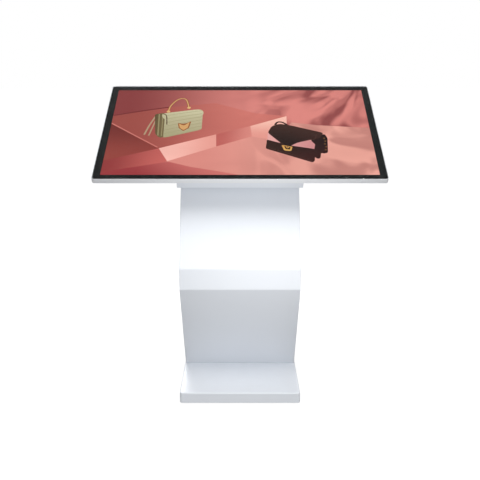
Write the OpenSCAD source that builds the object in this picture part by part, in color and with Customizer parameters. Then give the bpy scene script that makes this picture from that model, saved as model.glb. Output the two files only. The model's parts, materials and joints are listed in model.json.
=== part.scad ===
// Free-standing touchscreen kiosk: a sloping wide screen on a folded steel leg
// with a forward knee, standing on a flat rectangular base.
// Millimetres. +X is the user's right, +Y points away from the user, +Z is up.
// The origin is on the floor under the centre of the base.

/* [Screen] */
// Width of the lit picture
picture_w = 941.2; // [780:0.2:1200]
// Height of the lit picture
picture_h = 529.4; // [440:0.2:680]
// Black border between the picture and the edge of the glass
border_w = 24.3; // [20:0.1:40]
// Thickness of the front glass
glass_t = 4; // [3:0.5:6]
// Corner radius of the glass
glass_corner = 9; // [6:1:20]
// Width of the rim that shows around the glass
rim_w = 2.5; // [2.3:0.1:6]
// Height of the rim as seen from the side
rim_h = 17; // [16:0.5:30]
// Depth of the whole screen from the glass to the rear cover
screen_depth = 60; // [58:1:90]
// Distance from the rim to the raised part of the rear cover
cover_inset = 60; // [52:1:62]
// Slope of the screen from level
screen_tilt = 30; // [15:1:45]
// Height of the glass's front edge above the floor
screen_front_z = 799.6; // [700:0.1:1000]
// Distance of the glass's front edge in front of the base's centre
screen_front_y = 244.2; // [200:0.1:260]

/* [Neck] */
// Width of the box between the leg and the screen
neck_w = 446; // [430:1:600]
// Length of the neck box up the slope
neck_l = 308; // [280:1:420]
// Height of the neck box under the screen
neck_h = 54; // [40:1:80]
// Distance of the neck box from the glass's front edge, up the slope
neck_front = 92; // [60:1:140]
// Sheet thickness of the neck box
neck_t = 2; // [1.5:0.5:4]

/* [Leg] */
// Width of the leg
leg_w = 420; // [360:1:426]
// Depth of the leg from its front face to its rear face
leg_depth = 90; // [75:1:140]
// Sheet thickness of the leg's skins and sides
skin_t = 1.5; // [1:0.1:3]
// Front face's distance in front of the base's centre, at the foot
foot_front = 4.2; // [0:0.1:60]
// Lean of the lower panel from level
lower_lean = 57.5; // [50:0.5:75]
// Length of the lower panel up to the knee
lower_len = 438.7; // [380:0.1:540]
// Height of the near-vertical facet at the knee
knee_h = 75.3; // [60:0.1:110]
// Forward lean of that facet from vertical
knee_lean = 2.3; // [0:0.1:8]
// Bend radius of the front skin at the knee
knee_r = 12; // [6:1:25]
// Distance from the neck box's front to the leg's front face, up the slope
leg_setback = 24; // [10:1:60]

/* [Base] */
// Width of the base
base_w = 427; // [421:1:600]
// Length of the base from front to back
base_l = 544; // [500:1:760]
// Height of the base cover
base_h = 38; // [36:1:70]
// Corner radius of the base in plan
base_corner = 10; // [6:1:30]
// Radius of the base's top edge
base_edge = 4; // [2:0.5:5]
// Sheet thickness of the base cover
cover_t = 2; // [1.5:0.1:3]
// Thickness of the steel bottom plate
plate_t = 4; // [3:0.5:8]
// Gap between the floor and the bottom plate, filled by the foot pads
floor_gap = 3; // [2:0.5:8]
// Travel of each levelling foot
foot_travel = 10; // [4:1:12]

/* [Service door] */
// Width of the service door
door_w = 300; // [240:1:330]
// Height of the service door
door_h = 260; // [200:1:320]
// Centre of the door above the foot, up the rear panel
door_v = 260; // [220:1:270]
// Thickness of the door panel
door_t = 1.2; // [1:0.1:1.2]
// Gap around the door
door_gap = 2; // [1.5:0.5:4]

/* [Fittings] */
// Radius of the cooling fan's air hole
fan_r = 27; // [20:1:36]
// Distance of the indicator and power button from the screen's middle
button_x = 413; // [300:1:440]
// Centre of the mains inlet from the base's middle
inlet_x = -60; // [-120:1:-40]
// Centre of the mains switch from the base's middle
switch_x = 10; // [0:1:60]

/* [Hidden] */
$fn = 48;

// Clearances
touch_gap = 0.3;    // between parts that must not rub
shaft_gap = 0.05;   // radial, between a shaft and its bore
slip = 0.2;         // around a part that drops into a cut-out
eps = 0.5;          // how far a cut runs past the face that it opens

// Screen
glass_w = picture_w + 2 * border_w;
glass_h = picture_h + 2 * border_w;
screen_y = -screen_front_y;
frame_wall = 2;
ledge_w = 8;
ledge_t = 1.5;
tape_t = 0.5;
flange_w = 14;
cell_t = 2;
cell_margin = 8;
cell_w = picture_w + 2 * cell_margin;
cell_h = picture_h + 2 * cell_margin;
cell_top = glass_t + tape_t + touch_gap;
tray_top = cell_top + cell_t;
tray_bottom = rim_h;
tray_t = 1;
led_bar_t = 1.5;
guide_t = 4;
cover_sheet = 1.2;
pan_w = glass_w + 2 * rim_w - 2 * cover_inset;
pan_h = glass_h + 2 * rim_w - 2 * cover_inset;
screen_mid = glass_h / 2;

// Screen fixing, on a 400 by 200 pattern
fix_x = 200;
fix_u = [screen_mid - 100, screen_mid + 100];
fix_r = 3;
rail_w = 30;
rail_t = 2;
rail_l = pan_h - 2 * (cover_sheet + rail_t);
cover_screw_r = 2;

// Neck
neck_top = screen_depth;
neck_bottom = screen_depth + neck_h;
screen_plate_t = 4;
doubler_t = 5;
doubler = [360, 150];
flange_t = 6;
grommet_r = 25;
head_bolt_r = 4;
head_bolt_x = 150;
head_bolt_u = 50;
side_screw_r = 2;
side_screw_t = 14;
wing_t = 2;
wing_h = 24;
lead_slot = [140, 100];

// Base
base_z = floor_gap;
base_top = base_z + base_h;
rib_w = 40;
rib_x = 120;
rib_t = 4;
rib_l = base_l - 130;
bolt_r = 5;
foot_bolt_y = [-28, 26];
foot_x = base_w / 2 - 45;
foot_y = base_l / 2 - 45;
stem_r = 4;
pad_r = 18;
socket_z = (base_z + plate_t + base_top - cover_t) / 2;
plinth_x = 300;
plinth_y = 420;
plinth_r = 4.25;
lead_hole_r = 18;

// Service door and its hinges and lock
rear_r = 12;
lip_w = 8;
door_frame_t = 1.5;
door_frame_depth = 12;
hinge_x = -(door_w / 2 + 1);
hinge_z = 4;
hinge_l = 40;
hinge_v = 80;
pin_r = 1.5;
knuckle_r = 3.5;
lock_x = door_w / 2 - 25;
barrel_r = 9;
plug_r = 6;
lock_depth = skin_t + door_frame_depth + touch_gap;

// Fan
fan_x = 330;
fan_u = screen_mid + 130;
fan_size = 2 * fan_r + 6;
fan_t = 15;
strut_t = 2.5;
hub_r = 11;
fan_shaft_r = 1.5;

// ---- Geometry of the leg, as points in the Y-Z plane ----

// Unit vector along v
function unit(v) = v / norm(v);

// Normal of direction a that points to the rear of the leg
function rearward(a) = [a[1], -a[0]];

// Where the line through p along a meets the line through q along b
function meet(p, a, q, b) = p + a * (cross(q - p, b) / cross(a, b));

// Vector v turned by an angle
function turned(v, angle) = [v[0] * cos(angle) - v[1] * sin(angle), v[0] * sin(angle) + v[1] * cos(angle)];

// Points of the arc of radius r that rounds the corner b between a and c
function bend(a, b, c, r, steps = 6) =
    let (
        into = unit(a - b),
        out = unit(c - b),
        half = acos(into * out) / 2,
        start = b + into * (r / tan(half)),
        centre = b + unit(into + out) * (r / sin(half)),
        turn = (180 - 2 * half) * sign(cross(b - a, c - b))
    )
    [for (i = [0 : steps]) centre + turned(start - centre, turn * i / steps)];

function reversed(list) = [for (i = [len(list) - 1 : -1 : 0]) list[i]];

// Point at distance u up the slope and t behind the glass
function on_slope(u, t) = [
    screen_y + u * cos(screen_tilt) + t * sin(screen_tilt),
    screen_front_z + u * sin(screen_tilt) - t * cos(screen_tilt)
];

slope_dir = [cos(screen_tilt), sin(screen_tilt)];
foot_point = [-foot_front, base_top];
lower_dir = [-cos(lower_lean), sin(lower_lean)];
knee_low = foot_point + lower_len * lower_dir;
knee_dir = [-sin(knee_lean), cos(knee_lean)];
knee_top = knee_low + knee_h * knee_dir;
upper_dir = unit(on_slope(neck_front + leg_setback, neck_bottom) - knee_top);

// Points on the lower and upper panels, d behind the front face and s along it
function lower_point(d, s) = foot_point + d * rearward(lower_dir) + s * lower_dir;
function upper_point(d, s) = knee_top + d * rearward(upper_dir) + s * upper_dir;

// Corners of the leg's outline at the depth d behind its front face
function at_height(d, z) = meet(lower_point(d, 0), lower_dir, [0, z], [1, 0]);
function at_depth(d, t) = meet(upper_point(d, 0), upper_dir, on_slope(0, t), slope_dir);
function low_corner(d) = meet(lower_point(d, 0), lower_dir, knee_low + d * rearward(knee_dir), knee_dir);
function top_corner(d) = meet(upper_point(d, 0), upper_dir, knee_low + d * rearward(knee_dir), knee_dir);
function low_end(d) = at_height(d, base_top);
function high_end(d) = at_depth(d, neck_bottom);

// The two rounded bends at the knee, and the whole edge from foot to neck
function knee_bends(d, r) = concat(
    bend(low_end(d), low_corner(d), top_corner(d), r),
    bend(low_corner(d), top_corner(d), high_end(d), r)
);
function leg_edge(d, r) = concat([low_end(d)], knee_bends(d, r), [high_end(d)]);

inner_w = leg_w - 2 * skin_t;
rear_in = leg_depth - skin_t;
rear_foot = low_end(leg_depth);
lower_rib_s = lower_dir * (low_corner(leg_depth) - foot_point) - 20;
upper_rib_s = upper_dir * (top_corner(leg_depth) - knee_top) + 25;
foot_mid = (low_end(0)[0] + low_end(leg_depth)[0]) / 2;

// Distance up the slope of a point in the Y-Z plane, and the middle of the leg's head there
function slope_u(p) = (p - on_slope(0, 0)) * slope_dir;
head_mid = (slope_u(at_depth(0, neck_bottom + flange_t))
    + slope_u(at_depth(leg_depth, neck_bottom + flange_t))) / 2;

// ---- Placing ----

// Extrudes an outline given in the Y-Z plane by width, centred on x
module across(width, points, x = 0)
    translate([x, 0, 0]) rotate([90, 0, 90]) linear_extrude(width, center = true) polygon(points);

// Screen's own frame: origin at the middle of the glass's front edge,
// +Y up the slope, +Z out of the glass
module on_screen() translate([0, screen_y, screen_front_z]) rotate([screen_tilt, 0, 0]) children();

// Rear lower panel's frame: origin on its outer face at the foot, +Z outward, -Y up the panel
module on_rear_panel() translate([0, rear_foot[0], rear_foot[1]]) rotate([-lower_lean, 0, 0]) children();

// Base's rear wall's frame at x: +Z outward, -Y up
module on_base_rear(x) translate([x, base_l / 2, socket_z]) rotate([-90, 0, 0]) children();

module at_door() on_rear_panel() translate([0, -door_v, 0]) children();
module at_hinges() at_door() for (y = [-hinge_v, hinge_v]) translate([hinge_x, y, hinge_z]) children();
module at_lock() at_door() translate([lock_x, 0, 0]) children();
module at_fan() on_screen() translate([fan_x, fan_u, -screen_depth]) children();

// Front wall of the screen's rim at the button, +Z pointing at the user
module at_button()
    on_screen() translate([button_x, -rim_w, -(rim_h + glass_t) / 2]) rotate([90, 0, 0]) children();

// ---- Shapes that repeat ----

// Rectangle with round corners, centred
module round_rect(w, h, r) {
    square([w - 2 * r, h], center = true);
    square([w, h - 2 * r], center = true);
    for (x = [-1, 1], y = [-1, 1]) translate([x * (w / 2 - r), y * (h / 2 - r)]) circle(r);
}

// Plate with round corners whose top face is at z = 0
module plate(w, h, t, r) translate([0, 0, -t]) linear_extrude(t) round_rect(w, h, r);

// Flat frame whose top face is at z = 0
module ring(w, h, t, r, border) translate([0, 0, -t]) linear_extrude(t) difference() {
    round_rect(w, h, r);
    round_rect(w - 2 * border, h - 2 * border, max(r - border, 0.5));
}

// Flat-sided stadium, centred
module capsule(w, h, t) {
    for (x = [-1, 1]) translate([x * (w - h) / 2, 0, 0]) cylinder(r = h / 2, h = t);
    translate([-(w - h) / 2, -h / 2, 0]) cube([w - h, h, t]);
}

// Bolt with its head above z = 0 and its shank below
module hex_bolt(r, length) {
    cylinder(r = 1.7 * r, h = 1.25 * r, $fn = 6);
    translate([0, 0, -length]) cylinder(r = r, h = length + eps);
}

// Pan-head screw with a hexagon socket
module pan_screw(r, length) difference() {
    union() {
        cylinder(r = 1.9 * r, h = 1.1 * r);
        translate([0, 0, -length]) cylinder(r = r, h = length + eps);
    }
    translate([0, 0, 0.4 * r]) cylinder(r = 0.9 * r, h = 2 * r, $fn = 6);
}

// Block with soft vertical corners and a soft top edge
module soft_block(w, l, h, corner, edge) hull()
    for (x = [-1, 1], y = [-1, 1]) translate([x * (w / 2 - corner), y * (l / 2 - corner), 0]) {
        cylinder(r = corner, h = h - edge, $fn = 32);
        rotate_extrude($fn = 32) {
            translate([corner - edge, h - edge]) intersection() {
                circle(edge, $fn = 32);
                square(edge);
            }
            square([corner - edge, h]);
        }
    }

// ---- Base ----

// Bottom plate with foot, plinth and lead holes
module base_plate() color("dimgray") translate([0, 0, base_z]) difference() {
    translate([0, 0, plate_t]) plate(base_w - 2 * cover_t - 2 * slip, base_l - 2 * cover_t - 2 * slip,
        plate_t, base_corner - cover_t);
    at_feet() translate([0, 0, -eps]) cylinder(r = stem_r + 0.5, h = plate_t + 2 * eps);
    for (x = [-1, 1], y = [-1, 1]) translate([x * plinth_x / 2, y * plinth_y / 2, -eps])
        cylinder(r = plinth_r, h = plate_t + 2 * eps);
}

module at_feet() for (x = [-1, 1], y = [-1, 1]) translate([x * foot_x, y * foot_y, 0]) children();

// Cover of the base: a folded pan, open below, with its fittings' cut-outs
module base_cover() color("white") difference() {
    translate([0, 0, base_z]) difference() {
        soft_block(base_w, base_l, base_h, base_corner, base_edge);
        translate([0, 0, -eps]) soft_block(base_w - 2 * cover_t, base_l - 2 * cover_t,
            base_h - cover_t + eps, base_corner - cover_t, base_edge - cover_t / 2);
    }
    at_foot_bolts() translate([0, 0, -2 * cover_t]) cylinder(r = bolt_r + slip, h = 4 * cover_t);
    translate([0, foot_mid, base_top - 2 * cover_t]) cylinder(r = lead_hole_r, h = 4 * cover_t);
    on_base_rear(inlet_x) translate([0, 0, -2 * cover_t])
        plate_cut(inlet_w + 2 * slip, inlet_h + 2 * slip, 4 * cover_t);
    on_base_rear(switch_x) translate([0, 0, -2 * cover_t])
        plate_cut(switch_w + 2 * slip, switch_h + 2 * slip, 4 * cover_t);
}

module plate_cut(w, h, t) translate([-w / 2, -h / 2, 0]) cube([w, h, t]);

// Two steel tubes that carry the leg's bolts
module base_ribs() color("dimgray") for (x = [-1, 1]) difference() {
    translate([x * rib_x, 0, base_z + plate_t]) difference() {
        translate([-rib_w / 2, -rib_l / 2, 0]) cube([rib_w, rib_l, base_h - plate_t - cover_t]);
        translate([-rib_w / 2 + rib_t, -rib_l / 2 - eps, rib_t])
            cube([rib_w - 2 * rib_t, rib_l + 2 * eps, base_h - plate_t - cover_t - 2 * rib_t]);
    }
    at_foot_bolts() translate([0, 0, -cover_t - rib_t - eps]) cylinder(r = bolt_r, h = rib_t + 2 * eps);
}

// Hexagon nuts that the levelling feet screw into
module foot_nuts() color("silver") at_feet() translate([0, 0, base_z + plate_t]) difference() {
    cylinder(r = 2 * stem_r, h = 12, $fn = 6);
    translate([0, 0, -eps]) cylinder(r = stem_r + shaft_gap, h = 12 + 2 * eps);
}

// Levelling foot: a steel stem in a flat moulded pad
module levelling_foot(x, y) color("#303030") translate([x * foot_x, y * foot_y, 0]) {
    cylinder(r = pad_r, h = floor_gap);
    translate([0, 0, floor_gap - eps]) cylinder(r = stem_r, h = base_h - foot_travel);
}
module levelling_foot_front_left() levelling_foot(-1, -1);
module levelling_foot_front_right() levelling_foot(1, -1);
module levelling_foot_rear_left() levelling_foot(-1, 1);
module levelling_foot_rear_right() levelling_foot(1, 1);

// ---- Mains inlet and switch in the base's rear wall ----

inlet_w = 28;
inlet_h = 22;
inlet_depth = 16;
inlet_back = 22;
blade = [2, 4];
blade_x = 7;
blade_short = 7;

// Three-pole socket, open to the rear
module power_inlet() color("#202020") on_base_rear(inlet_x) difference() {
    union() {
        translate([0, 0, -inlet_back]) plate_cut(inlet_w, inlet_h, inlet_back);
        translate([0, 0, -cover_t - 2]) plate_cut(inlet_w + 16, inlet_h + 3, 2);
    }
    translate([0, 0, -inlet_depth]) plate_cut(inlet_w - 4, inlet_h - 6, inlet_depth + eps);
    at_blades() plate_cut(blade[0], blade[1], inlet_back);
}

module at_blades() for (p = [[-blade_x, 2], [0, -2], [blade_x, 2]])
    translate([p[0], p[1], -inlet_back - 6]) children();

module inlet_pins() color("gold") on_base_rear(inlet_x) at_blades()
    plate_cut(blade[0], blade[1], inlet_back + 6 - blade_short);

switch_w = 23;
switch_h = 15;
switch_depth = 18;
switch_bezel = [8, 6];
rocker_well = 12;
rocker_w = 17;
rocker_h = 10.4;
rocker_pivot = 6;
rocker_rest = 7;
trunnion_r = 1.5;

module switch_housing() color("#202020") on_base_rear(switch_x) difference() {
    union() {
        translate([0, 0, -switch_depth]) plate_cut(switch_w, switch_h, switch_depth);
        translate([0, 0, -cover_t - 2]) plate_cut(switch_w + switch_bezel[0], switch_h + switch_bezel[1], 2);
    }
    translate([0, 0, -rocker_well]) plate_cut(rocker_w + 2, rocker_h + 0.8, rocker_well + eps);
    translate([0, 0, -rocker_pivot]) rotate([90, 0, 0])
        cylinder(r = trunnion_r + shaft_gap, h = rocker_h + 3.4, center = true);
}

// Rocker, resting with one end pressed in
module switch_rocker() color("#303030") on_base_rear(switch_x) translate([0, 0, -rocker_pivot])
    rotate([0, rocker_rest, 0]) rotate([90, 0, 0]) {
        linear_extrude(rocker_h, center = true) polygon([
            [-rocker_w / 2, 3.8], [0, 2.6], [rocker_w / 2, 3.8],
            [rocker_w / 2 - 1, -2], [0, -3.5], [1 - rocker_w / 2, -2]
        ]);
        cylinder(r = trunnion_r, h = rocker_h + 2.8, center = true);
    }

// ---- Leg ----

module leg_front_skin() color("white")
    across(inner_w, concat(leg_edge(0, knee_r), reversed(leg_edge(skin_t, knee_r - skin_t))));

module leg_side(x) color("white") across(skin_t,
    concat(leg_edge(0, knee_r), reversed(leg_edge(leg_depth, rear_r))), x * (leg_w - skin_t) / 2);
module leg_side_left() leg_side(-1);
module leg_side_right() leg_side(1);

// Rear panel of the lower leg, with the door's opening
module leg_rear_lower() color("white") difference() {
    across(inner_w, [
        low_end(leg_depth), knee_bends(leg_depth, rear_r)[0],
        knee_bends(rear_in, rear_r + skin_t)[0], low_end(rear_in)
    ]);
    at_door() translate([0, 0, eps]) plate(door_w + 2 * door_gap, door_h + 2 * door_gap, skin_t + 2 * eps, 3);
}

// Rear panel from the knee up to the neck
module leg_rear_upper() color("white") across(inner_w, concat(
    knee_bends(leg_depth, rear_r), [high_end(leg_depth), high_end(rear_in)],
    reversed(knee_bends(rear_in, rear_r + skin_t))));

bulkhead_t = 2;
rib_section = [[skin_t, 0], [rear_in, 0], [rear_in, bulkhead_t], [skin_t, bulkhead_t]];

// Two bulkheads, below and above the knee, with a hole for the lead
module leg_ribs() color("lightgray") difference() {
    union() {
        across(inner_w, [for (q = rib_section) lower_point(q[0], lower_rib_s + q[1])]);
        across(inner_w, [for (q = rib_section) upper_point(q[0], upper_rib_s + q[1])]);
    }
    rib_hole(lower_point(leg_depth / 2, lower_rib_s), 90 - lower_lean);
    rib_hole(upper_point(leg_depth / 2, upper_rib_s), atan2(upper_dir[1], upper_dir[0]) - 90);
}

module rib_hole(p, lean) translate([0, p[0], p[1]]) rotate([lean, 0, 0])
    translate([0, 0, -10]) cylinder(r = lead_hole_r, h = 24);

// Plate inside the foot, bolted down to the base
module leg_foot_flange() color("lightgray") difference() {
    across(inner_w, [
        at_height(skin_t, base_top), at_height(rear_in, base_top),
        at_height(rear_in, base_top + flange_t), at_height(skin_t, base_top + flange_t)
    ]);
    at_foot_bolts() cylinder(r = bolt_r + slip, h = 20);
    translate([0, foot_mid, base_top - eps]) cylinder(r = lead_hole_r, h = flange_t + 2 * eps);
}

module at_foot_bolts()
    for (x = [-rib_x, rib_x], y = foot_bolt_y) translate([x, foot_mid + y, base_top]) children();

module foot_bolts() color("silver") at_foot_bolts() translate([0, 0, flange_t])
    hex_bolt(bolt_r, flange_t + cover_t + rib_t);

// Plate inside the top of the leg, bolted up to the neck box
module leg_head_flange() color("lightgray") difference() {
    across(inner_w, [
        at_depth(skin_t, neck_bottom), at_depth(rear_in, neck_bottom),
        at_depth(rear_in, neck_bottom + flange_t), at_depth(skin_t, neck_bottom + flange_t)
    ]);
    at_head_bolts() translate([0, 0, -eps]) cylinder(r = head_bolt_r + slip, h = flange_t + 2 * eps);
    at_neck_hole() translate([0, 0, -flange_t - eps]) cylinder(r = grommet_r + 4, h = flange_t + 2 * eps);
}

module at_neck_hole() on_screen() translate([0, head_mid, -neck_bottom]) children();
module at_head_bolts(drop = flange_t) on_screen()
    for (x = [-head_bolt_x, head_bolt_x], u = [-head_bolt_u, head_bolt_u])
        translate([x, head_mid + u, -neck_bottom - drop]) children();

module head_bolts() color("silver") at_head_bolts() mirror([0, 0, 1])
    hex_bolt(head_bolt_r, flange_t + neck_t + doubler_t);

// ---- Service door ----

module door_frame() color("lightgray") at_door() translate([0, 0, -skin_t]) {
    ring(door_w + 24, door_h + 24, door_frame_t, 6, 12 + lip_w);
    ring(door_w - 2 * lip_w + 2 * door_frame_t, door_h - 2 * lip_w + 2 * door_frame_t,
        door_frame_depth, 4, door_frame_t);
}

module door_panel() color("white") at_door() difference() {
    union() {
        plate(door_w, door_h, door_t, 2);
        translate([0, 0, -door_t / 2]) ring(door_w - 24, door_h - 24, 8, 3, 1.2);
    }
    translate([lock_x, 0, -2 * door_t]) cylinder(r = barrel_r + slip / 2, h = 4 * door_t);
}

// Fixed half of each hinge: leaf on the panel and the two outer knuckles
module hinge_fixed_leaves() color("silver") at_hinges() difference() {
    union() {
        translate([-34, -hinge_l / 2, -hinge_z]) cube([34, hinge_l, 1.5]);
        rotate([90, 0, 0]) cylinder(r = knuckle_r, h = hinge_l, center = true);
    }
    translate([-knuckle_r - 0.8, -8.25, -hinge_z - eps]) cube([12, 16.5, 12]);
    rotate([90, 0, 0]) cylinder(r = pin_r, h = hinge_l + 2, center = true);
}

// Moving half of each hinge: leaf on the door and the middle knuckle
module hinge_door_leaves() color("silver") at_hinges() difference() {
    union() {
        translate([knuckle_r + 0.5, -hinge_l / 2, -hinge_z]) cube([26, hinge_l, 1.5]);
        translate([0, -7.75, -hinge_z]) cube([6, 15.5, 1.5]);
        rotate([90, 0, 0]) cylinder(r = knuckle_r, h = 15.5, center = true);
    }
    rotate([90, 0, 0]) cylinder(r = pin_r + shaft_gap, h = hinge_l, center = true);
}

module hinge_pins() color("gray") at_hinges() rotate([90, 0, 0])
    cylinder(r = pin_r, h = hinge_l + 1.6, center = true);

module lock_barrel() color("silver") at_lock() difference() {
    union() {
        cylinder(r = barrel_r + 4, h = 2.5);
        translate([0, 0, -lock_depth]) cylinder(r = barrel_r, h = lock_depth + eps);
    }
    translate([0, 0, -lock_depth - eps]) cylinder(r = plug_r + shaft_gap, h = lock_depth + 4);
}

module lock_nut() color("silver") at_lock() translate([0, 0, -door_t - 4]) difference() {
    rotate(30) cylinder(r = barrel_r + 3.5, h = 4, $fn = 6);
    translate([0, 0, -eps]) cylinder(r = barrel_r, h = 4 + 2 * eps);
}

// Turning plug with a keyway
module lock_plug() color("silver") at_lock() difference() {
    translate([0, 0, -lock_depth - 1]) cylinder(r = plug_r, h = lock_depth + 3);
    translate([-0.7, -4, -3]) cube([1.4, 8, 8]);
}

// Cam that turns behind the door frame
module lock_cam() color("silver") at_lock() translate([0, 0, -lock_depth - 3]) {
    cylinder(r = plug_r + 1, h = 2);
    translate([-6, 0, 0]) cube([12, lip_w + 23, 2]);
}

// ---- Neck ----

module neck_box() color("white") difference() {
    on_screen() difference() {
        translate([-neck_w / 2, neck_front, -neck_bottom]) cube([neck_w, neck_l, neck_h]);
        translate([-neck_w / 2 + neck_t, neck_front + neck_t, -neck_bottom + neck_t])
            cube([neck_w - 2 * neck_t, neck_l - 2 * neck_t, neck_h]);
        translate([0, head_mid, -neck_bottom - eps]) cylinder(r = grommet_r, h = neck_t + 2 * eps);
        neck_screw_places() cylinder(r = side_screw_r + slip, h = 20, center = true);
    }
    at_head_bolts(eps) cylinder(r = head_bolt_r + slip, h = neck_t + 2 * eps);
}

// Thick plate on the neck box's floor that takes the leg's bolts
module neck_doubler() color("dimgray") difference() {
    on_screen() translate([-doubler[0] / 2, head_mid - doubler[1] / 2, -neck_bottom + neck_t]) difference() {
        cube([doubler[0], doubler[1], doubler_t]);
        translate([doubler[0] / 2, doubler[1] / 2, -eps])
            cylinder(r = grommet_r + 8, h = doubler_t + 2 * eps);
    }
    at_head_bolts(0) cylinder(r = head_bolt_r, h = neck_t + doubler_t + eps);
}

// Side screws that hold the box to the screen plate, each frame's +Z pointing outward
module neck_screw_places() for (x = [-1, 1], u = [0.15, 0.5, 0.85])
    translate([x * neck_w / 2, neck_front + u * neck_l, -neck_top - side_screw_t])
        rotate([0, x * 90, 0]) children();

module neck_screws() color("silver") on_screen() neck_screw_places()
    pan_screw(side_screw_r, neck_t + wing_t + slip);

// Plate with two folded flanges, bolted to the back of the screen
module screen_plate() color("lightgray") on_screen() difference() {
    union() {
        translate([-neck_w / 2 + neck_t + slip, neck_front + neck_t + slip, -neck_top - screen_plate_t])
            cube([neck_w - 2 * neck_t - 2 * slip, neck_l - 2 * neck_t - 2 * slip, screen_plate_t]);
        for (x = [-1, 1]) translate([x * (neck_w / 2 - neck_t - slip - wing_t / 2) - wing_t / 2,
            neck_front + 2 * neck_t, -neck_top - wing_h]) cube([wing_t, neck_l - 4 * neck_t, wing_h - 3]);
    }
    neck_screw_places() cylinder(r = side_screw_r, h = 20, center = true);
    for (x = [-fix_x, fix_x], u = fix_u) translate([x, u, -neck_top - 10]) cylinder(r = fix_r + slip, h = 20);
    translate([-lead_slot[0] / 2, head_mid - lead_slot[1] / 2, -neck_top - 10])
        cube([lead_slot[0], lead_slot[1], 20]);
}

module screen_bolts() color("silver") on_screen() for (x = [-fix_x, fix_x], u = fix_u)
    translate([x, u, -neck_top - screen_plate_t]) mirror([0, 0, 1]) hex_bolt(fix_r, screen_plate_t + 8);

// Rubber ring around the lead's hole in the neck box's floor
module cable_grommet() color("#202020") on_screen() translate([0, head_mid, -neck_bottom])
    rotate_extrude() polygon([
        [grommet_r - 4, -flange_t / 2], [grommet_r, -flange_t / 2], [grommet_r, neck_t],
        [grommet_r + 4, neck_t], [grommet_r + 4, neck_t + 3], [grommet_r - 4, neck_t + 3]
    ]);

// ---- Screen, from the front to the back ----

module screen_layer(top) on_screen() translate([0, screen_mid, -top]) children();

module touch_glass() color("#101010") screen_layer(0) plate(glass_w, glass_h, glass_t, glass_corner);

module glass_tape() color("#181818") difference() {
    screen_layer(glass_t) ring(glass_w - 1, glass_h - 1, tape_t, glass_corner - 0.5, ledge_w - 1);
    at_indicator() cylinder(r = lens_r + slip / 2, h = 20, center = true);
}

module touch_sensor() color("#202428") screen_layer(glass_t)
    plate(cell_w + 8, cell_h + 8, tape_t - 0.2, 2);

module display_panel() color("#b05050") screen_layer(cell_top) plate(cell_w, cell_h, cell_t, 1);

module light_guide() color("white") screen_layer(tray_top + touch_gap)
    plate(cell_w - 2 * tray_t - 2 * touch_gap, cell_h - 2 * (tray_t + led_bar_t + touch_gap), guide_t, 0.5);

module backlight_tray() color("silver") screen_layer(tray_top) {
    ring(cell_w, cell_h, tray_bottom - tray_top, 1, tray_t);
    translate([0, 0, -(tray_bottom - tray_top) + tray_t]) plate(cell_w, cell_h, tray_t, 1);
}

// Two strips of lamps that stand along the tray's long walls and light the guide's edges
module led_bars() color("#f0f0d0") screen_layer(tray_bottom - tray_t) for (y = [-1, 1])
    translate([-picture_w / 2, y * (cell_h / 2 - tray_t - led_bar_t / 2) - led_bar_t / 2, 0])
        cube([picture_w, led_bar_t, tray_bottom - tray_top - 2 * tray_t]);

// Two channels that join the tray, the rear cover and the screen plate
module panel_rails() color("silver") on_screen() for (x = [-fix_x, fix_x]) difference() {
    translate([x - rail_w / 2, screen_mid - rail_l / 2, -screen_depth + cover_sheet]) difference() {
        cube([rail_w, rail_l, screen_depth - cover_sheet - tray_bottom]);
        translate([rail_t, -eps, rail_t]) cube([rail_w - 2 * rail_t, rail_l + 2 * eps, screen_depth]);
    }
    for (u = fix_u) translate([x, u, -screen_depth]) cylinder(r = fix_r, h = 10);
}

// Rim: side wall, ledge under the glass and rear flange
module monitor_frame() color("white") difference() {
    on_screen() translate([0, screen_mid, 0]) {
        ring(glass_w + 2 * rim_w, glass_h + 2 * rim_w, rim_h, glass_corner + rim_w, frame_wall);
        translate([0, 0, -glass_t - tape_t]) rim_shelf(ledge_w, ledge_t);
        translate([0, 0, -rim_h + ledge_t]) rim_shelf(flange_w, ledge_t);
    }
    at_button() translate([0, 0, -frame_wall - eps])
        capsule(button_w + 2 * slip, button_h + 2 * slip, frame_wall + 2 * eps);
    at_indicator() cylinder(r = lens_r, h = 20, center = true);
    on_screen() at_cover_screws() cylinder(r = cover_screw_r, h = 8, center = true);
}

// Shelf inside the rim's wall, its top at z = 0
module rim_shelf(reach, t)
    ring(glass_w + 2 * rim_w - frame_wall, glass_h + 2 * rim_w - frame_wall, t,
        glass_corner + rim_w - frame_wall / 2, reach + frame_wall / 2);

module at_cover_screws() {
    for (x = [-1, -0.5, 0, 0.5, 1], y = [-1, 1]) translate([x * (glass_w / 2 - 30),
        screen_mid + y * (glass_h / 2 - flange_w / 2), -rim_h]) children();
    for (x = [-1, 1], y = [-0.5, 0.5]) translate([x * (glass_w / 2 - flange_w / 2),
        screen_mid + y * glass_h / 2, -rim_h]) children();
}

module cover_screws() color("gray") on_screen() at_cover_screws() translate([0, 0, -cover_sheet])
    mirror([0, 0, 1]) pan_screw(cover_screw_r, cover_sheet + ledge_t + 1);

slot_w = 3;
slot_l = 26;
slot_pitch = 8;
lead_window = [80, 40];

// Rows of vent slots centred on x, u
module vents(x, u, columns, rows) for (i = [0 : columns - 1], j = [0 : rows - 1])
    translate([x + (i - (columns - 1) / 2) * slot_pitch - slot_w / 2,
        u + (j - (rows - 1) / 2) * (slot_l + 8) - slot_l / 2, -screen_depth - 2]) cube([slot_w, slot_l, 6]);

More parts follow.
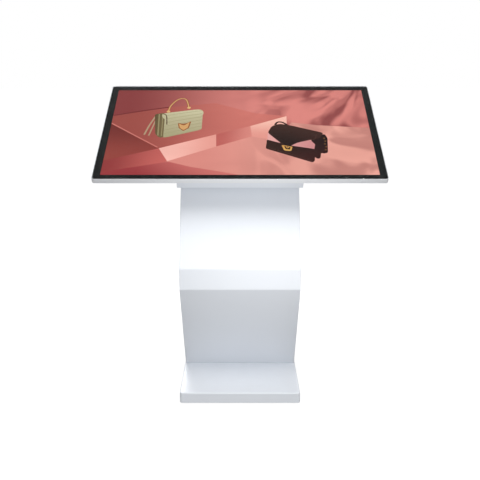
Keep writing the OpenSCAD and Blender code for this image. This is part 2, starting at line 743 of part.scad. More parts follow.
// Rear cover: a flange against the rim and a raised pan with vents
module rear_cover() color("white") difference() {
    on_screen() translate([0, screen_mid, 0]) {
        translate([0, 0, -rim_h]) ring(glass_w + 2 * rim_w - 2, glass_h + 2 * rim_w - 2, cover_sheet,
            glass_corner, cover_inset - 1 + cover_sheet);
        translate([0, 0, -rim_h]) ring(pan_w, pan_h, screen_depth - rim_h, 12, cover_sheet);
        translate([0, 0, -screen_depth + cover_sheet]) plate(pan_w, pan_h, cover_sheet, 12);
    }
    on_screen() {
        at_cover_screws() cylinder(r = cover_screw_r + slip, h = 8, center = true);
        for (x = [-fix_x, fix_x], u = fix_u) translate([x, u, -screen_depth - 2])
            cylinder(r = fix_r + slip, h = 6);
        for (x = [-fan_x, fan_x]) vents(x, screen_mid - 20, 13, 3);
        for (x = [-speaker_x, speaker_x]) vents(x, speaker_u, 9, 1);
        translate([-lead_window[0] / 2, head_mid - lead_window[1] / 2, -screen_depth - 2])
            cube([lead_window[0], lead_window[1], 6]);
        translate([fan_x, fan_u, -screen_depth - 2]) cylinder(r = fan_r, h = 6);
    }
}

// ---- Electronics inside the rear cover ----

board_t = 1.6;
board_lift = 5;
board = [170, 130];
board_x = -150;
board_u = screen_mid + 20;
standoff_inset = 6;
connector = [18, 16, 10];
connector_pitch = 26;

// Main board on four stand-offs, with a row of connectors along one edge
module main_board() color("darkgreen") on_screen() translate([board_x, board_u, -tray_bottom - board_lift]) {
    translate([0, 0, -board_t]) cube([board[0], board[1], board_t]);
    for (x = [standoff_inset, board[0] - standoff_inset], y = [standoff_inset, board[1] - standoff_inset])
        translate([x, y, 0]) cylinder(r = 3, h = board_lift);
    for (u = [2 * standoff_inset : connector_pitch : board[1] - connector[1]])
        translate([board[0] - connector[0] - 2, u, -board_t - connector[2]]) cube(connector);
}

sink_w = 50;
sink_base = 3;
fin_h = 9;
fin_t = 2;
fin_count = 8;

module board_heatsink() color("silver") on_screen()
    translate([board_x + 40, board_u + 40, -tray_bottom - board_lift - board_t - sink_base]) {
        cube([sink_w, sink_w, sink_base]);
        for (i = [0 : fin_count - 1]) translate([i * (sink_w - fin_t) / (fin_count - 1), 0, -fin_h])
            cube([fin_t, sink_w, fin_h + eps]);
    }

supply = [200, 100, 26];
supply_u = screen_mid - 190;
supply_slots = 12;

// Power supply in a slotted case
module power_supply() color("gainsboro") on_screen()
    translate([board_x, supply_u, -tray_bottom - supply[2]]) difference() {
        cube(supply);
        for (i = [0 : supply_slots - 1]) translate([20 + i * 14, 10, -1]) cube([4, supply[1] / 2, 3]);
    }

speaker_x = 385;
speaker_u = 100;
speaker = [100, 44, 26];
cone_r = 16;
cone_x = 25;

// Two speaker boxes on the inside of the rear cover
module speakers() color("#202020") on_screen() for (x = [-speaker_x, speaker_x]) difference() {
    translate([x - speaker[0] / 2, speaker_u - speaker[1] / 2, -screen_depth + cover_sheet]) cube(speaker);
    for (side = [-1, 1]) translate([x + side * cone_x, speaker_u, -screen_depth]) cylinder(r = cone_r, h = 8);
}

// Square fan frame with a bearing hub on three struts
module fan_frame() color("#202020") at_fan() translate([0, 0, cover_sheet]) difference() {
    union() {
        difference() {
            translate([0, 0, fan_t]) plate(fan_size, fan_size, fan_t, 4);
            translate([0, 0, -eps]) cylinder(r = fan_r, h = fan_t + 2 * eps);
        }
        translate([0, 0, fan_t - 3]) cylinder(r = hub_r, h = strut_t);
        for (i = [0 : 2]) rotate(i * 120 + 15)
            translate([hub_r - 2, -1.5, fan_t - 3]) cube([fan_r - hub_r + 3, 3, strut_t]);
    }
    translate([0, 0, fan_t - 3 - eps]) cylinder(r = fan_shaft_r + shaft_gap, h = 3 + 2 * eps);
}

module fan_rotor() color("#303030") at_fan() translate([0, 0, cover_sheet]) {
    translate([0, 0, 1]) cylinder(r = hub_r, h = fan_t - 4.5);
    translate([0, 0, 2]) cylinder(r = fan_shaft_r, h = fan_t - 3);
    for (i = [0 : 6]) rotate(i * 360 / 7) translate([hub_r - 1, 0, fan_t / 2 - 1.2])
        rotate([38, 0, 0]) translate([0, -5.5, -0.7]) cube([fan_r - hub_r - 0.5, 11, 1.4]);
}

wire_r = 0.8;

// Finger guard of rings and two crossing bars on the outside of the cover
module fan_guard() color("silver") at_fan() translate([0, 0, -wire_r]) {
    for (r = [6 : 6 : fan_r + 1]) rotate_extrude() translate([r, 0]) square(2 * wire_r, center = true);
    for (a = [45, 135]) rotate(a) cube([fan_size + 12, 2 * wire_r, 2 * wire_r], center = true);
}

// ---- Indicator and power button ----

lens_r = 1.6;
button_w = 17;
button_h = 7;
button_out = 1.5;
button_in = 5;
button_travel = 1.2;
lens_h = 2.6;
bezel_t = 0.8;

module at_indicator() on_screen() translate([button_x, 4, -glass_t]) children();

module indicator_lens() color("palegreen") at_indicator() translate([0, 0, -lens_h])
    cylinder(r = lens_r, h = lens_h);

module button_bezel() color("silver") at_button() difference() {
    capsule(button_w + 3, button_h + 3, bezel_t);
    translate([0, 0, -eps]) capsule(button_w + 2 * slip, button_h + 2 * slip, bezel_t + 2 * eps);
}

// Power button, pressed inward against the switch behind it
module power_button() color("white") at_button() translate([0, 0, -button_in])
    capsule(button_w, button_h, button_in + button_out);

// Switch behind the button, on the rim's rear flange
module button_switch() color("#202020") on_screen()
    translate([button_x - 6, -rim_w + button_in + button_travel + touch_gap, -rim_h + ledge_t])
        cube([12, 6, 7.5]);

// ---- Internal mains lead, from the inlet up the leg to the power supply ----

lead_r = 3.5;
// Route as [x, y, z], in the order in which the lead runs
lead_route = [
    [-60, 244, 23], [-60, 225, 23], [-55, 190, 21], [-40, 140, 20], [-15, 90, 20], [0, 60, 26],
    [0, 49, 42], [0, 40, 62], [0, 15, 100], [0, -45, 195], [0, -110, 297], [0, -160, 376], [0, -184, 418],
    [0, -197, 448], [0, -194, 482], [0, -173, 520], [0, -126, 600], [0, -79, 682], [0, -54, 725],
    [0, -32, 763], [0, -18, 786], [0, -19, 801], [0, -30, 819], [0, -45, 834], [0, -58.4, 857.2]
];

// Ring of points of radius r around p, square to direction d
function ring_at(p, d, r, sides = 8) =
    let (side = unit(cross(d, [1, 0.02, 0])), up = unit(cross(side, d)))
    [for (i = [0 : sides - 1]) p + r * (cos(i * 360 / sides) * side + sin(i * 360 / sides) * up)];

// Direction of a route at its point i
function heading(route, i) = unit(route[min(i + 1, len(route) - 1)] - route[max(i - 1, 0)]);

// Closed tube of radius r along a route
module tube(route, r, sides = 8) {
    last = len(route) - 1;
    polyhedron(
        [for (i = [0 : last]) each ring_at(route[i], heading(route, i), r, sides)],
        concat(
            [[for (k = [sides - 1 : -1 : 0]) k]],
            [for (i = [0 : last - 1], k = [0 : sides - 1]) let (n = (k + 1) % sides)
                [i * sides + k, i * sides + n, (i + 1) * sides + n, (i + 1) * sides + k]],
            [[for (k = [0 : sides - 1]) last * sides + k]]
        )
    );
}

module mains_lead() color("#181818") tube(lead_route, lead_r);

base_plate();
base_cover();
base_ribs();
foot_nuts();
levelling_foot_front_left();
levelling_foot_front_right();
levelling_foot_rear_left();
levelling_foot_rear_right();
power_inlet();
inlet_pins();
switch_housing();
switch_rocker();
leg_front_skin();
leg_side_left();
leg_side_right();
leg_rear_lower();
leg_rear_upper();
leg_ribs();
leg_foot_flange();
leg_head_flange();
foot_bolts();
head_bolts();
door_frame();
door_panel();
hinge_fixed_leaves();
hinge_door_leaves();
hinge_pins();
lock_barrel();
lock_nut();
lock_plug();
lock_cam();
neck_box();
neck_doubler();
neck_screws();
screen_plate();
screen_bolts();
cable_grommet();
touch_glass();
glass_tape();
touch_sensor();
display_panel();
light_guide();
led_bars();
backlight_tray();
panel_rails();
monitor_frame();
rear_cover();
cover_screws();
main_board();
board_heatsink();
power_supply();
speakers();
fan_frame();
fan_rotor();
fan_guard();
indicator_lens();
button_bezel();
power_button();
button_switch();
mains_lead();
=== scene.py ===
"""Looks of a free-standing touchscreen kiosk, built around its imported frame.

The frame gives every size and place, in metres: +X is the user's right, +Y points away
from the user and +Z is up. Each sub-assembly is a class that dresses its own frame nodes
with finishes and, where the plain shape is too simple, builds a finer piece in its place.
"""

import json
import logging
import math
from dataclasses import dataclass
from enum import Enum
from typing import ClassVar, Dict, List, Sequence, Tuple, Union

import bmesh
import bpy
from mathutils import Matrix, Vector
from mathutils.geometry import delaunay_2d_cdt


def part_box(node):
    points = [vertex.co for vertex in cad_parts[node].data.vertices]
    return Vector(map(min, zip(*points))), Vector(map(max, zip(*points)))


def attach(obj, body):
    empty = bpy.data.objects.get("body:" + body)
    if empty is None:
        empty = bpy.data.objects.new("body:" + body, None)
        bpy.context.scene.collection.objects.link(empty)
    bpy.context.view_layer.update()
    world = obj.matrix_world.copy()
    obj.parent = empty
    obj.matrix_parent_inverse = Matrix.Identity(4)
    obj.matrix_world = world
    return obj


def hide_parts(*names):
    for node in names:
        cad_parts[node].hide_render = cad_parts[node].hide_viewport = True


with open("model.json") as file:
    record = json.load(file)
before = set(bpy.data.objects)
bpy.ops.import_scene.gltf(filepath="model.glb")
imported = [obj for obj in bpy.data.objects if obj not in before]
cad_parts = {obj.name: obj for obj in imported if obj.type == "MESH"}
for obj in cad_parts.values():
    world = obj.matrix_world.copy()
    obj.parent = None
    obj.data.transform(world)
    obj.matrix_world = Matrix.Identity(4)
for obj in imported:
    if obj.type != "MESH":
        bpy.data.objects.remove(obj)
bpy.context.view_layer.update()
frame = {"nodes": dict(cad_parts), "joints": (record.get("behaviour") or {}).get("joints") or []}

MM = 0.001

Triple = Tuple[float, float, float]
Point = Tuple[float, float]
Socket = bpy.types.NodeSocket
Plug = Union[Socket, float, Sequence[float]]
Paint = Dict[str, Plug]

log = logging.getLogger("kiosk")


# ---- Node trees ----

class Sketch:
    """Adds nodes and links to one shader tree."""

    def __init__(self, tree: bpy.types.NodeTree) -> None:
        """Keeps the tree that later calls add to."""
        self.tree = tree

    def node(self, kind: str, inputs: Dict[Union[str, int], Plug],
             **settings: object) -> bpy.types.Node:
        """Adds a node, sets its properties and fills its inputs.

        Args:
            kind: The node's Blender type.
            inputs: A value or a socket for each input named or numbered.
            **settings: Properties of the node.

        Returns:
            The new node.
        """
        made = self.tree.nodes.new(kind)
        for name, value in settings.items():
            setattr(made, name, value)
        for name, value in inputs.items():
            if isinstance(value, Socket):
                self.tree.links.new(value, made.inputs[name])
            elif isinstance(value, tuple) and made.inputs[name].type == "RGBA":
                made.inputs[name].default_value = (*value[:3], 1.0)
            else:
                made.inputs[name].default_value = value
        return made

    def math(self, operation: str, a: Plug, b: Plug) -> Socket:
        """Returns the result of a Math node on a and b."""
        return self.node("ShaderNodeMath", {0: a, 1: b}, operation=operation).outputs[0]

    def times(self, a: Plug, b: Plug) -> Socket:
        """Returns the product of two numbers."""
        return self.math("MULTIPLY", a, b)

    def plus(self, a: Plug, b: Plug) -> Socket:
        """Returns the sum of two numbers."""
        return self.math("ADD", a, b)

    def minus(self, a: Plug, b: Plug) -> Socket:
        """Returns the number a less b."""
        return self.math("SUBTRACT", a, b)

    def vector(self, operation: str, a: Plug, b: Plug = (0.0, 0.0, 0.0)) -> bpy.types.NodeOutputs:
        """Returns a Vector Math node's outputs: the vector is 0, and a number is "Value"."""
        return self.node("ShaderNodeVectorMath", {0: a, 1: b}, operation=operation).outputs

    def parts(self, vector: Plug) -> bpy.types.NodeOutputs:
        """Returns a vector's three numbers."""
        return self.node("ShaderNodeSeparateXYZ", {0: vector}).outputs

    def joined(self, x: Plug, y: Plug, z: Plug = 0.0) -> Socket:
        """Returns the vector of three numbers."""
        return self.node("ShaderNodeCombineXYZ", {0: x, 1: y, 2: z}).outputs[0]

    def ramp(self, value: Plug, low: float, high: float) -> Socket:
        """Returns value eased from 0 at low to 1 at high."""
        return self.node("ShaderNodeMapRange", {0: value, 1: low, 2: high},
                         interpolation_type="SMOOTHSTEP").outputs[0]

    def mix(self, share: Plug, a: Plug, b: Plug, way: str = "MIX") -> Socket:
        """Returns the colour that is a where share is 0 and b, or its product, where it is 1."""
        return self.node("ShaderNodeMix", {0: share, 6: a, 7: b}, data_type="RGBA",
                         blend_type=way).outputs[2]

    def blend(self, share: Plug, a: Plug, b: Plug) -> Socket:
        """Returns the number that is a where share is 0 and b where it is 1."""
        return self.node("ShaderNodeMix", {0: share, 2: a, 3: b}, data_type="FLOAT").outputs[0]

    def noise(self, place: Plug, scale: Plug, detail: float = 3.0, twist: float = 0.0) -> Socket:
        """Returns a noise value at a place, with scale in cells per metre."""
        return self.node("ShaderNodeTexNoise", {"Vector": place, "Scale": scale, "Detail": detail,
                                                "Distortion": twist}).outputs[0]

    def cells(self, place: Plug, scale: float) -> Socket:
        """Returns the distance to the nearest of many scattered points."""
        return self.node("ShaderNodeTexVoronoi",
                         {"Vector": place, "Scale": scale}).outputs["Distance"]

    def place(self, kind: str = "Object") -> Socket:
        """Returns the point's place on the object, which moves with it."""
        return self.node("ShaderNodeTexCoord", {}).outputs[kind]

    def camera_ray(self) -> Socket:
        """Returns 1 for what the viewer sees directly and 0 for what only gives light."""
        return self.node("ShaderNodeLightPath", {}).outputs["Is Camera Ray"]

    def relief(self, height: Plug, strength: float, depth: float) -> Socket:
        """Returns the normal of a bumpy surface, with its depth in metres."""
        return self.node("ShaderNodeBump", {"Height": height, "Strength": strength,
                                            "Distance": depth}).outputs["Normal"]


class Effect:
    """A shader node group with named inputs and outputs, shared by several finishes."""

    def __init__(self, name: str, inputs: Dict[str, Union[float, Triple]],
                 outputs: Dict[str, str]) -> None:
        """Starts an empty group.

        Args:
            name: The group's name.
            inputs: Each input's name and its first value, a number or a colour.
            outputs: Each output's name and its kind, "Float" or "Color".
        """
        self.tree = bpy.data.node_groups.new(name, "ShaderNodeTree")
        self.sketch = Sketch(self.tree)
        for label, value in inputs.items():
            kind = "NodeSocketFloat" if isinstance(value, float) else "NodeSocketColor"
            socket = self.tree.interface.new_socket(name=label, in_out="INPUT", socket_type=kind)
            socket.default_value = value if isinstance(value, float) else (*value, 1.0)
        for label, kind in outputs.items():
            self.tree.interface.new_socket(name=label, in_out="OUTPUT",
                                           socket_type="NodeSocket" + kind)
        self.given = self.tree.nodes.new("NodeGroupInput").outputs
        self.results = self.tree.nodes.new("NodeGroupOutput").inputs

    def give(self, name: str, value: Socket) -> None:
        """Links a value to the output of that name."""
        self.tree.links.new(value, self.results[name])

    def use(self, sketch: Sketch, inputs: Paint) -> bpy.types.NodeOutputs:
        """Places the group in a finish's tree with these inputs, and returns its outputs."""
        return sketch.node("ShaderNodeGroup", inputs, node_tree=self.tree).outputs


class Effects:
    """The shared surface effects, each built once."""

    def __init__(self) -> None:
        """Builds every effect."""
        self.grain = self._grain()
        self.drift = self._drift()
        self.dust = self._dust()
        self.wear = self._wear()
        self.brushed = self._brushed()
        self.smears = self._smears()

    def _grain(self) -> Effect:
        """Returns the fine orange peel of a baked or moulded skin."""
        made = Effect("fine_grain", {"Scale": 900.0, "Peel": 0.5},
                      {"Height": "Float", "Gloss": "Float"})
        s, given = made.sketch, made.given
        wide_scale = s.times(given["Scale"], 0.31)
        fine, wide = s.noise(s.place(), given["Scale"], 2.0), s.noise(s.place(), wide_scale, 1.0)
        made.give("Height", s.blend(given["Peel"], fine, wide))
        made.give("Gloss", s.minus(fine, 0.5))
        return made

    def _drift(self) -> Effect:
        """Returns a slow drift of tone over a large surface."""
        made = Effect("tone_drift", {"Colour": (0.8, 0.8, 0.8), "Amount": 0.04, "Scale": 3.0},
                      {"Colour": "Color"})
        s, given = made.sketch, made.given
        cloud = s.noise(s.place(), given["Scale"], 4.0)
        swing = s.times(s.minus(cloud, 0.5), given["Amount"])
        factor = s.plus(s.times(swing, 2.0), 1.0)
        tint = s.node("ShaderNodeCombineColor", {0: factor, 1: factor, 2: factor}).outputs[0]
        made.give("Colour", s.mix(1.0, given["Colour"], tint, "MULTIPLY"))
        return made

    def _dust(self) -> Effect:
        """Returns a mask of thin dust that lies on faces turned upward."""
        made = Effect("settled_dust", {"Amount": 0.3}, {"Mask": "Float"})
        s = made.sketch
        facing = s.ramp(s.parts(s.place("Normal"))[2], 0.3, 0.95)
        patches = s.ramp(s.noise(s.place(), 26.0, 6.0, 0.4), 0.35, 0.75)
        specks = s.ramp(s.noise(s.place(), 700.0, 1.0), 0.62, 0.72)
        cover = s.math("MAXIMUM", patches, specks)
        made.give("Mask", s.times(s.times(facing, cover), made.given["Amount"]))
        return made

    def _wear(self) -> Effect:
        """Returns a mask of rubbed edges, broken up by scratches."""
        made = Effect("edge_wear", {"Amount": 0.5, "Reach": 0.001}, {"Mask": "Float"})
        s = made.sketch
        soft = s.node("ShaderNodeBevel", {"Radius": made.given["Reach"]}, samples=4).outputs[0]
        true = s.node("ShaderNodeNewGeometry", {}).outputs["Normal"]
        turn = s.vector("DOT_PRODUCT", soft, true)["Value"]
        edge = s.ramp(s.minus(1.0, turn), 0.02, 0.25)
        broken = s.ramp(s.noise(s.place(), 420.0, 5.0, 0.8), 0.42, 0.6)
        made.give("Mask", s.times(s.times(edge, broken), made.given["Amount"]))
        return made

    def _brushed(self) -> Effect:
        """Returns the long fine lines of rolled or brushed metal."""
        made = Effect("rolled_lines", {"Scale": 1400.0, "Length": 0.03},
                      {"Height": "Float", "Tone": "Float"})
        s = made.sketch
        stretched = s.vector("MULTIPLY", s.place(), s.joined(made.given["Length"], 1.0, 1.0))[0]
        lines = s.noise(stretched, made.given["Scale"], 2.0)
        made.give("Height", lines)
        made.give("Tone", s.ramp(lines, 0.3, 0.7))
        return made

    def _smears(self) -> Effect:
        """Returns a mask of wiped smears and finger marks."""
        made = Effect("wiped_smears", {"Amount": 0.5}, {"Mask": "Float"})
        s = made.sketch
        wiped = s.vector("MULTIPLY", s.place(), (2.0, 9.0, 9.0))[0]
        wipes = s.ramp(s.noise(wiped, 3.0, 4.0, 1.5), 0.45, 0.75)
        prints = s.minus(1.0, s.ramp(s.cells(s.place(), 22.0), 0.1, 0.3))
        rare = s.ramp(s.noise(s.place(), 6.0, 2.0), 0.55, 0.7)
        both = s.math("MAXIMUM", wipes, s.times(prints, rare))
        made.give("Mask", s.times(both, made.given["Amount"]))
        return made


# ---- Finishes ----

@dataclass(frozen=True)
class Finish:
    """A surface finish: its name, its colour and how matt it is."""

    name: str
    colour: Triple
    rough: float

    def paint(self, sketch: Sketch, effects: Effects) -> Paint:
        """Returns the shader's inputs for this finish; each kind of finish has its own."""
        return {"Base Color": self.colour, "Roughness": self.rough}

    def clouded(self, sketch: Sketch, effects: Effects, amount: float, scale: float) -> Socket:
        """Returns the colour with a drift of that amount and scale."""
        return effects.drift.use(sketch, {"Colour": self.colour, "Amount": amount,
                                          "Scale": scale})[0]

    def uneven(self, sketch: Sketch, swing: Socket, amount: float) -> Socket:
        """Returns the roughness with that amount of a swing added."""
        return sketch.plus(sketch.times(swing, amount), self.rough)


@dataclass(frozen=True)
class PowderCoat(Finish):
    """Baked powder on folded sheet, with a fine peel and a trace of dust on top."""

    peel: float = 0.5
    dust: float = 0.04
    drift: float = 0.012
    dust_colour: Triple = (0.56, 0.55, 0.53)
    dust_rough: float = 0.85
    depth: float = 0.12 * MM
    gloss: float = 0.12
    gloss_rough: float = 0.28

    def paint(self, sketch: Sketch, effects: Effects) -> Paint:
        """Returns the inputs of a satin coat."""
        skin = effects.grain.use(sketch, {"Scale": 1100.0, "Peel": self.peel})
        tone = self.clouded(sketch, effects, self.drift, 2.5)
        dusty = effects.dust.use(sketch, {"Amount": self.dust})["Mask"]
        rough = self.uneven(sketch, skin["Gloss"], 0.10)
        return {
            "Base Color": sketch.mix(dusty, tone, self.dust_colour),
            "Roughness": sketch.blend(dusty, rough, self.dust_rough),
            "Normal": sketch.relief(skin["Height"], 0.16, self.depth),
            "Coat Weight": self.gloss,
            "Coat Roughness": self.gloss_rough,
        }


@dataclass(frozen=True)
class SheetSteel(Finish):
    """Rolled or plated steel with fine lines, cloudy tone and rubbed edges."""

    lines: float = 0.25
    cloud: float = 0.10
    bright: float = 0.75
    rubbed: float = 0.5
    rubbed_reach: float = 0.8 * MM
    rubbed_rough: float = 0.22
    depth: float = 0.05 * MM

    def paint(self, sketch: Sketch, effects: Effects) -> Paint:
        """Returns the inputs of bare or plated metal."""
        rolled = effects.brushed.use(sketch, {"Scale": 1500.0, "Length": 0.04})
        tone = self.clouded(sketch, effects, self.cloud, 38.0)
        worn = effects.wear.use(sketch, {"Amount": self.rubbed,
                                         "Reach": self.rubbed_reach})["Mask"]
        rough = self.uneven(sketch, rolled["Tone"], 0.12)
        shiny = tuple(min(1.0, part * 1.25 + 0.05) for part in self.colour)
        return {
            "Base Color": sketch.mix(worn, tone, shiny),
            "Metallic": self.bright,
            "Roughness": sketch.blend(worn, rough, self.rubbed_rough),
            "Normal": sketch.relief(rolled["Height"], self.lines, self.depth),
        }


@dataclass(frozen=True)
class Moulded(Finish):
    """Moulded plastic or rubber with a fine texture and handled edges."""

    texture: float = 700.0
    relief: float = 0.25
    handled: float = 0.25
    handled_reach: float = 0.5 * MM
    depth: float = 0.15 * MM

    def paint(self, sketch: Sketch, effects: Effects) -> Paint:
        """Returns the inputs of a moulded skin."""
        skin = effects.grain.use(sketch, {"Scale": self.texture, "Peel": 0.2})
        tone = self.clouded(sketch, effects, 0.06, 30.0)
        worn = effects.wear.use(sketch, {"Amount": self.handled,
                                         "Reach": self.handled_reach})["Mask"]
        pale = tuple(part + 0.10 for part in self.colour)
        rough = self.uneven(sketch, skin["Gloss"], 0.2)
        return {
            "Base Color": sketch.mix(worn, tone, pale),
            "Roughness": sketch.blend(worn, rough, self.rough * 0.7),
            "Normal": sketch.relief(skin["Height"], self.relief, self.depth),
        }


@dataclass(frozen=True)
class ClearSheet(Finish):
    """Clear glass or film, with faint smears where hands have been."""

    smears: float = 0.05
    smear_rough: float = 0.25
    shine: float = 0.03
    bend: float = 1.5

    def paint(self, sketch: Sketch, effects: Effects) -> Paint:
        """Returns the inputs of a clear sheet."""
        marks = effects.smears.use(sketch, {"Amount": self.smears})["Mask"]
        return {
            "Base Color": self.colour,
            "Roughness": sketch.blend(marks, self.rough, self.smear_rough),
            "Transmission Weight": 1.0,
            "IOR": self.bend,
            "Specular IOR Level": self.shine,
        }


@dataclass(frozen=True)
class Ink(Finish):
    """Ceramic ink or dark tape on the back of the glass."""

    shine: float = 0.15
    depth: float = 0.02 * MM

    def paint(self, sketch: Sketch, effects: Effects) -> Paint:
        """Returns the inputs of a dense dark print."""
        skin = effects.grain.use(sketch, {"Scale": 1800.0})
        return {
            "Base Color": self.clouded(sketch, effects, 0.04, 60.0),
            "Roughness": self.rough,
            "Specular IOR Level": self.shine,
            "Normal": sketch.relief(skin["Height"], 0.1, self.depth),
        }


@dataclass(frozen=True)
class Lamp(Finish):
    """A lens or strip that glows, slightly unevenly."""

    glow: float = 1.0
    dimmest: float = 0.75

    def paint(self, sketch: Sketch, effects: Effects) -> Paint:
        """Returns the inputs of a lit lens."""
        cell = sketch.ramp(sketch.noise(sketch.place(), 350.0, 1.0), 0.3, 0.7)
        dim = tuple(self.dimmest * part for part in self.colour)
        return {
            "Base Color": self.colour,
            "Roughness": self.rough,
            "Emission Color": sketch.mix(cell, self.colour, dim),
            "Emission Strength": self.glow,
        }


@dataclass(frozen=True)
class Laminate(Finish):
    """Circuit board: solder mask over a woven core, with copper showing through as tracks."""

    gold: Triple = (0.72, 0.55, 0.26)
    depth: float = 0.05 * MM

    def paint(self, sketch: Sketch, effects: Effects) -> Paint:
        """Returns the inputs of a board with tracks."""
        place = sketch.place()
        tracks = sketch.node("ShaderNodeTexBrick", {"Vector": place, "Scale": 90.0,
                                                    "Mortar Size": 0.05}, offset=0.35)
        tracks = tracks.outputs["Fac"]
        pads = sketch.ramp(sketch.cells(place, 240.0), 0.22, 0.16)
        masked = sketch.mix(tracks, self.colour, tuple(1.7 * part for part in self.colour))
        bare = sketch.times(pads, sketch.ramp(sketch.noise(place, 40.0), 0.5, 0.6))
        return {
            "Base Color": sketch.mix(bare, masked, self.gold),
            "Roughness": self.rough,
            "Metallic": sketch.times(bare, 0.8),
            "Normal": sketch.relief(tracks, 0.3, self.depth),
        }


class Leaf(Enum):
    """How much of the leaf shadow falls on a region of the picture."""

    NONE = 0.0
    FAINT = 0.22
    SOFT = 0.45
    DEEP = 0.85


@dataclass(frozen=True)
class PictureTone(Finish):
    """One tone of the lit picture: two colours across the region, under soft leaf shadows.

    The shadows are blades that spread from the point `fan` of the region's box.
    """

    far: Triple = (1.0, 1.0, 1.0)
    lean: Point = (1.0, 0.0)
    span: Point = (0.0, 1.0)
    leaf: Leaf = Leaf.NONE
    fan: Point = (1.02, 1.25)
    glow: float = 1.13
    stretch: Triple = (1.78, 1.0, 0.0)
    blade_turn: float = 3.4
    blade_reach: float = 2.4
    cloud: float = 0.12
    cloud_colour: Triple = (0.50, 0.20, 0.20)
    leaf_colour: Triple = (0.49, 0.20, 0.21)

    def paint(self, sketch: Sketch, effects: Effects) -> Paint:
        """Returns the inputs of a lit patch of the picture."""
        place = sketch.place("Generated")
        along = sketch.vector("DOT_PRODUCT", place, (*self.lean, 0.0))["Value"]
        tone = sketch.mix(sketch.ramp(along, *self.span), screen_light(self.colour),
                          screen_light(self.far))
        soft = sketch.ramp(sketch.noise(place, 2.3, 2.0), 0.35, 0.7)
        tone = sketch.mix(sketch.times(soft, self.cloud), tone, screen_light(self.cloud_colour))
        lit = sketch.mix(self._shadow(sketch, place), tone, screen_light(self.leaf_colour))
        return {
            "Base Color": (0.0, 0.0, 0.0),
            "Roughness": self.rough,
            "Specular IOR Level": 0.0,
            "Emission Color": lit,
            "Emission Strength": self.glow,
        }

    def _shadow(self, sketch: Sketch, place: Socket) -> Socket:
        """Returns how deep the leaf shadow is at a place.

        Args:
            sketch: The tone's tree.
            place: The place in the region's box, from 0 to 1 each way.
        """
        arm = sketch.vector("SUBTRACT", place, (*self.fan, 0.0))[0]
        arm = sketch.vector("MULTIPLY", arm, self.stretch)[0]
        parts = sketch.parts(arm)
        turn = sketch.times(sketch.math("ARCTAN2", parts[0], parts[1]), self.blade_turn)
        reach = sketch.times(sketch.vector("LENGTH", arm)["Value"], self.blade_reach)
        blades = sketch.ramp(sketch.noise(sketch.joined(turn, reach), 1.35, 1.2, 1.1), 0.33, 0.66)
        right = sketch.ramp(sketch.parts(place)[0], 0.38, 0.82)
        return sketch.times(sketch.times(blades, right), self.leaf.value)


def screen_light(colour: Triple) -> Triple:
    """Returns the linear light of a display colour given from 0 to 1."""
    return tuple(p / 12.92 if p <= 0.04045 else ((p + 0.055) / 1.055) ** 2.4 for p in colour)


WHITE_COAT = PowderCoat("white_coat", (0.785, 0.812, 0.855), 0.42)
RIM_COAT = PowderCoat("rim_coat", (0.82, 0.83, 0.85), 0.32, peel=0.3)
DARK_STEEL = SheetSteel("dark_steel", (0.12, 0.125, 0.13), 0.42, bright=0.55, cloud=0.2)
ZINC_STEEL = SheetSteel("zinc_steel", (0.62, 0.63, 0.64), 0.34, cloud=0.14)
FASTENER = SheetSteel("fastener", (0.66, 0.66, 0.65), 0.30, lines=0.03, cloud=0.05, bright=0.85)
CHROME = SheetSteel("chrome_lock", (0.82, 0.83, 0.84), 0.10, lines=0.05, bright=1.0, cloud=0.03)
BRASS = SheetSteel("inlet_brass", (0.80, 0.62, 0.30), 0.25, bright=1.0)
HEATSINK = SheetSteel("heatsink_metal", (0.55, 0.56, 0.58), 0.30, lines=0.4, bright=0.9)
SUPPLY_CASE = SheetSteel("supply_case", (0.60, 0.61, 0.62), 0.38, cloud=0.22, bright=0.8)
FOOT_RUBBER = Moulded("foot_rubber", (0.025, 0.025, 0.027), 0.68, texture=500.0, relief=0.4)
GROMMET_RUBBER = Moulded("grommet_rubber", (0.02, 0.02, 0.021), 0.55, texture=350.0)
BLACK_PLASTIC = Moulded("black_plastic", (0.028, 0.029, 0.031), 0.45)
ROCKER_PLASTIC = Moulded("rocker_plastic", (0.035, 0.035, 0.037), 0.30, 1500.0, relief=0.12)
BUTTON_WHITE = Moulded("button_white", (0.78, 0.79, 0.81), 0.30, 1500.0, 0.1, handled=0.0)
FRONT_GLASS = ClearSheet("front_glass", (0.97, 0.985, 0.98), 0.0, bend=1.25)
TOUCH_FILM = ClearSheet("touch_film", (0.99, 0.99, 0.99), 0.0, smears=0.0, shine=0.0, bend=1.02)
GUIDE_ACRYLIC = ClearSheet("guide_acrylic", (0.93, 0.95, 0.97), 0.18, smears=0.0, shine=0.5)
LENS_CLEAR = Lamp("lens_clear", (0.78, 0.84, 0.76), 0.15, glow=1.1)
LAMP_STRIP = Lamp("lamp_strip", (0.95, 0.93, 0.82), 0.4, glow=0.6)
BLACK_TAPE = Ink("black_tape", (0.006, 0.007, 0.007), 0.55)
BOARD_GREEN = Laminate("board_green", (0.015, 0.09, 0.045), 0.35)


class Paintbox:
    """Makes each finish's material once."""

    def __init__(self, effects: Effects) -> None:
        """Keeps the node groups that the finishes place."""
        self.effects = effects
        self.made: Dict[str, bpy.types.Material] = {}

    def material(self, finish: Finish) -> bpy.types.Material:
        """Returns the finish's material, which is built at its first use.

        Args:
            finish: The surface finish.
        """
        if finish.name not in self.made:
            material = bpy.data.materials.new(finish.name)
            material.use_nodes = True
            material.node_tree.nodes.clear()
            sketch = Sketch(material.node_tree)
            shader = sketch.node("ShaderNodeBsdfPrincipled", finish.paint(sketch, self.effects))
            sketch.node("ShaderNodeOutputMaterial", {"Surface": shader.outputs[0]})
            material.diffuse_color = (*finish.colour, 1.0)
            self.made[finish.name] = material
        return self.made[finish.name]


# ---- Shapes ----

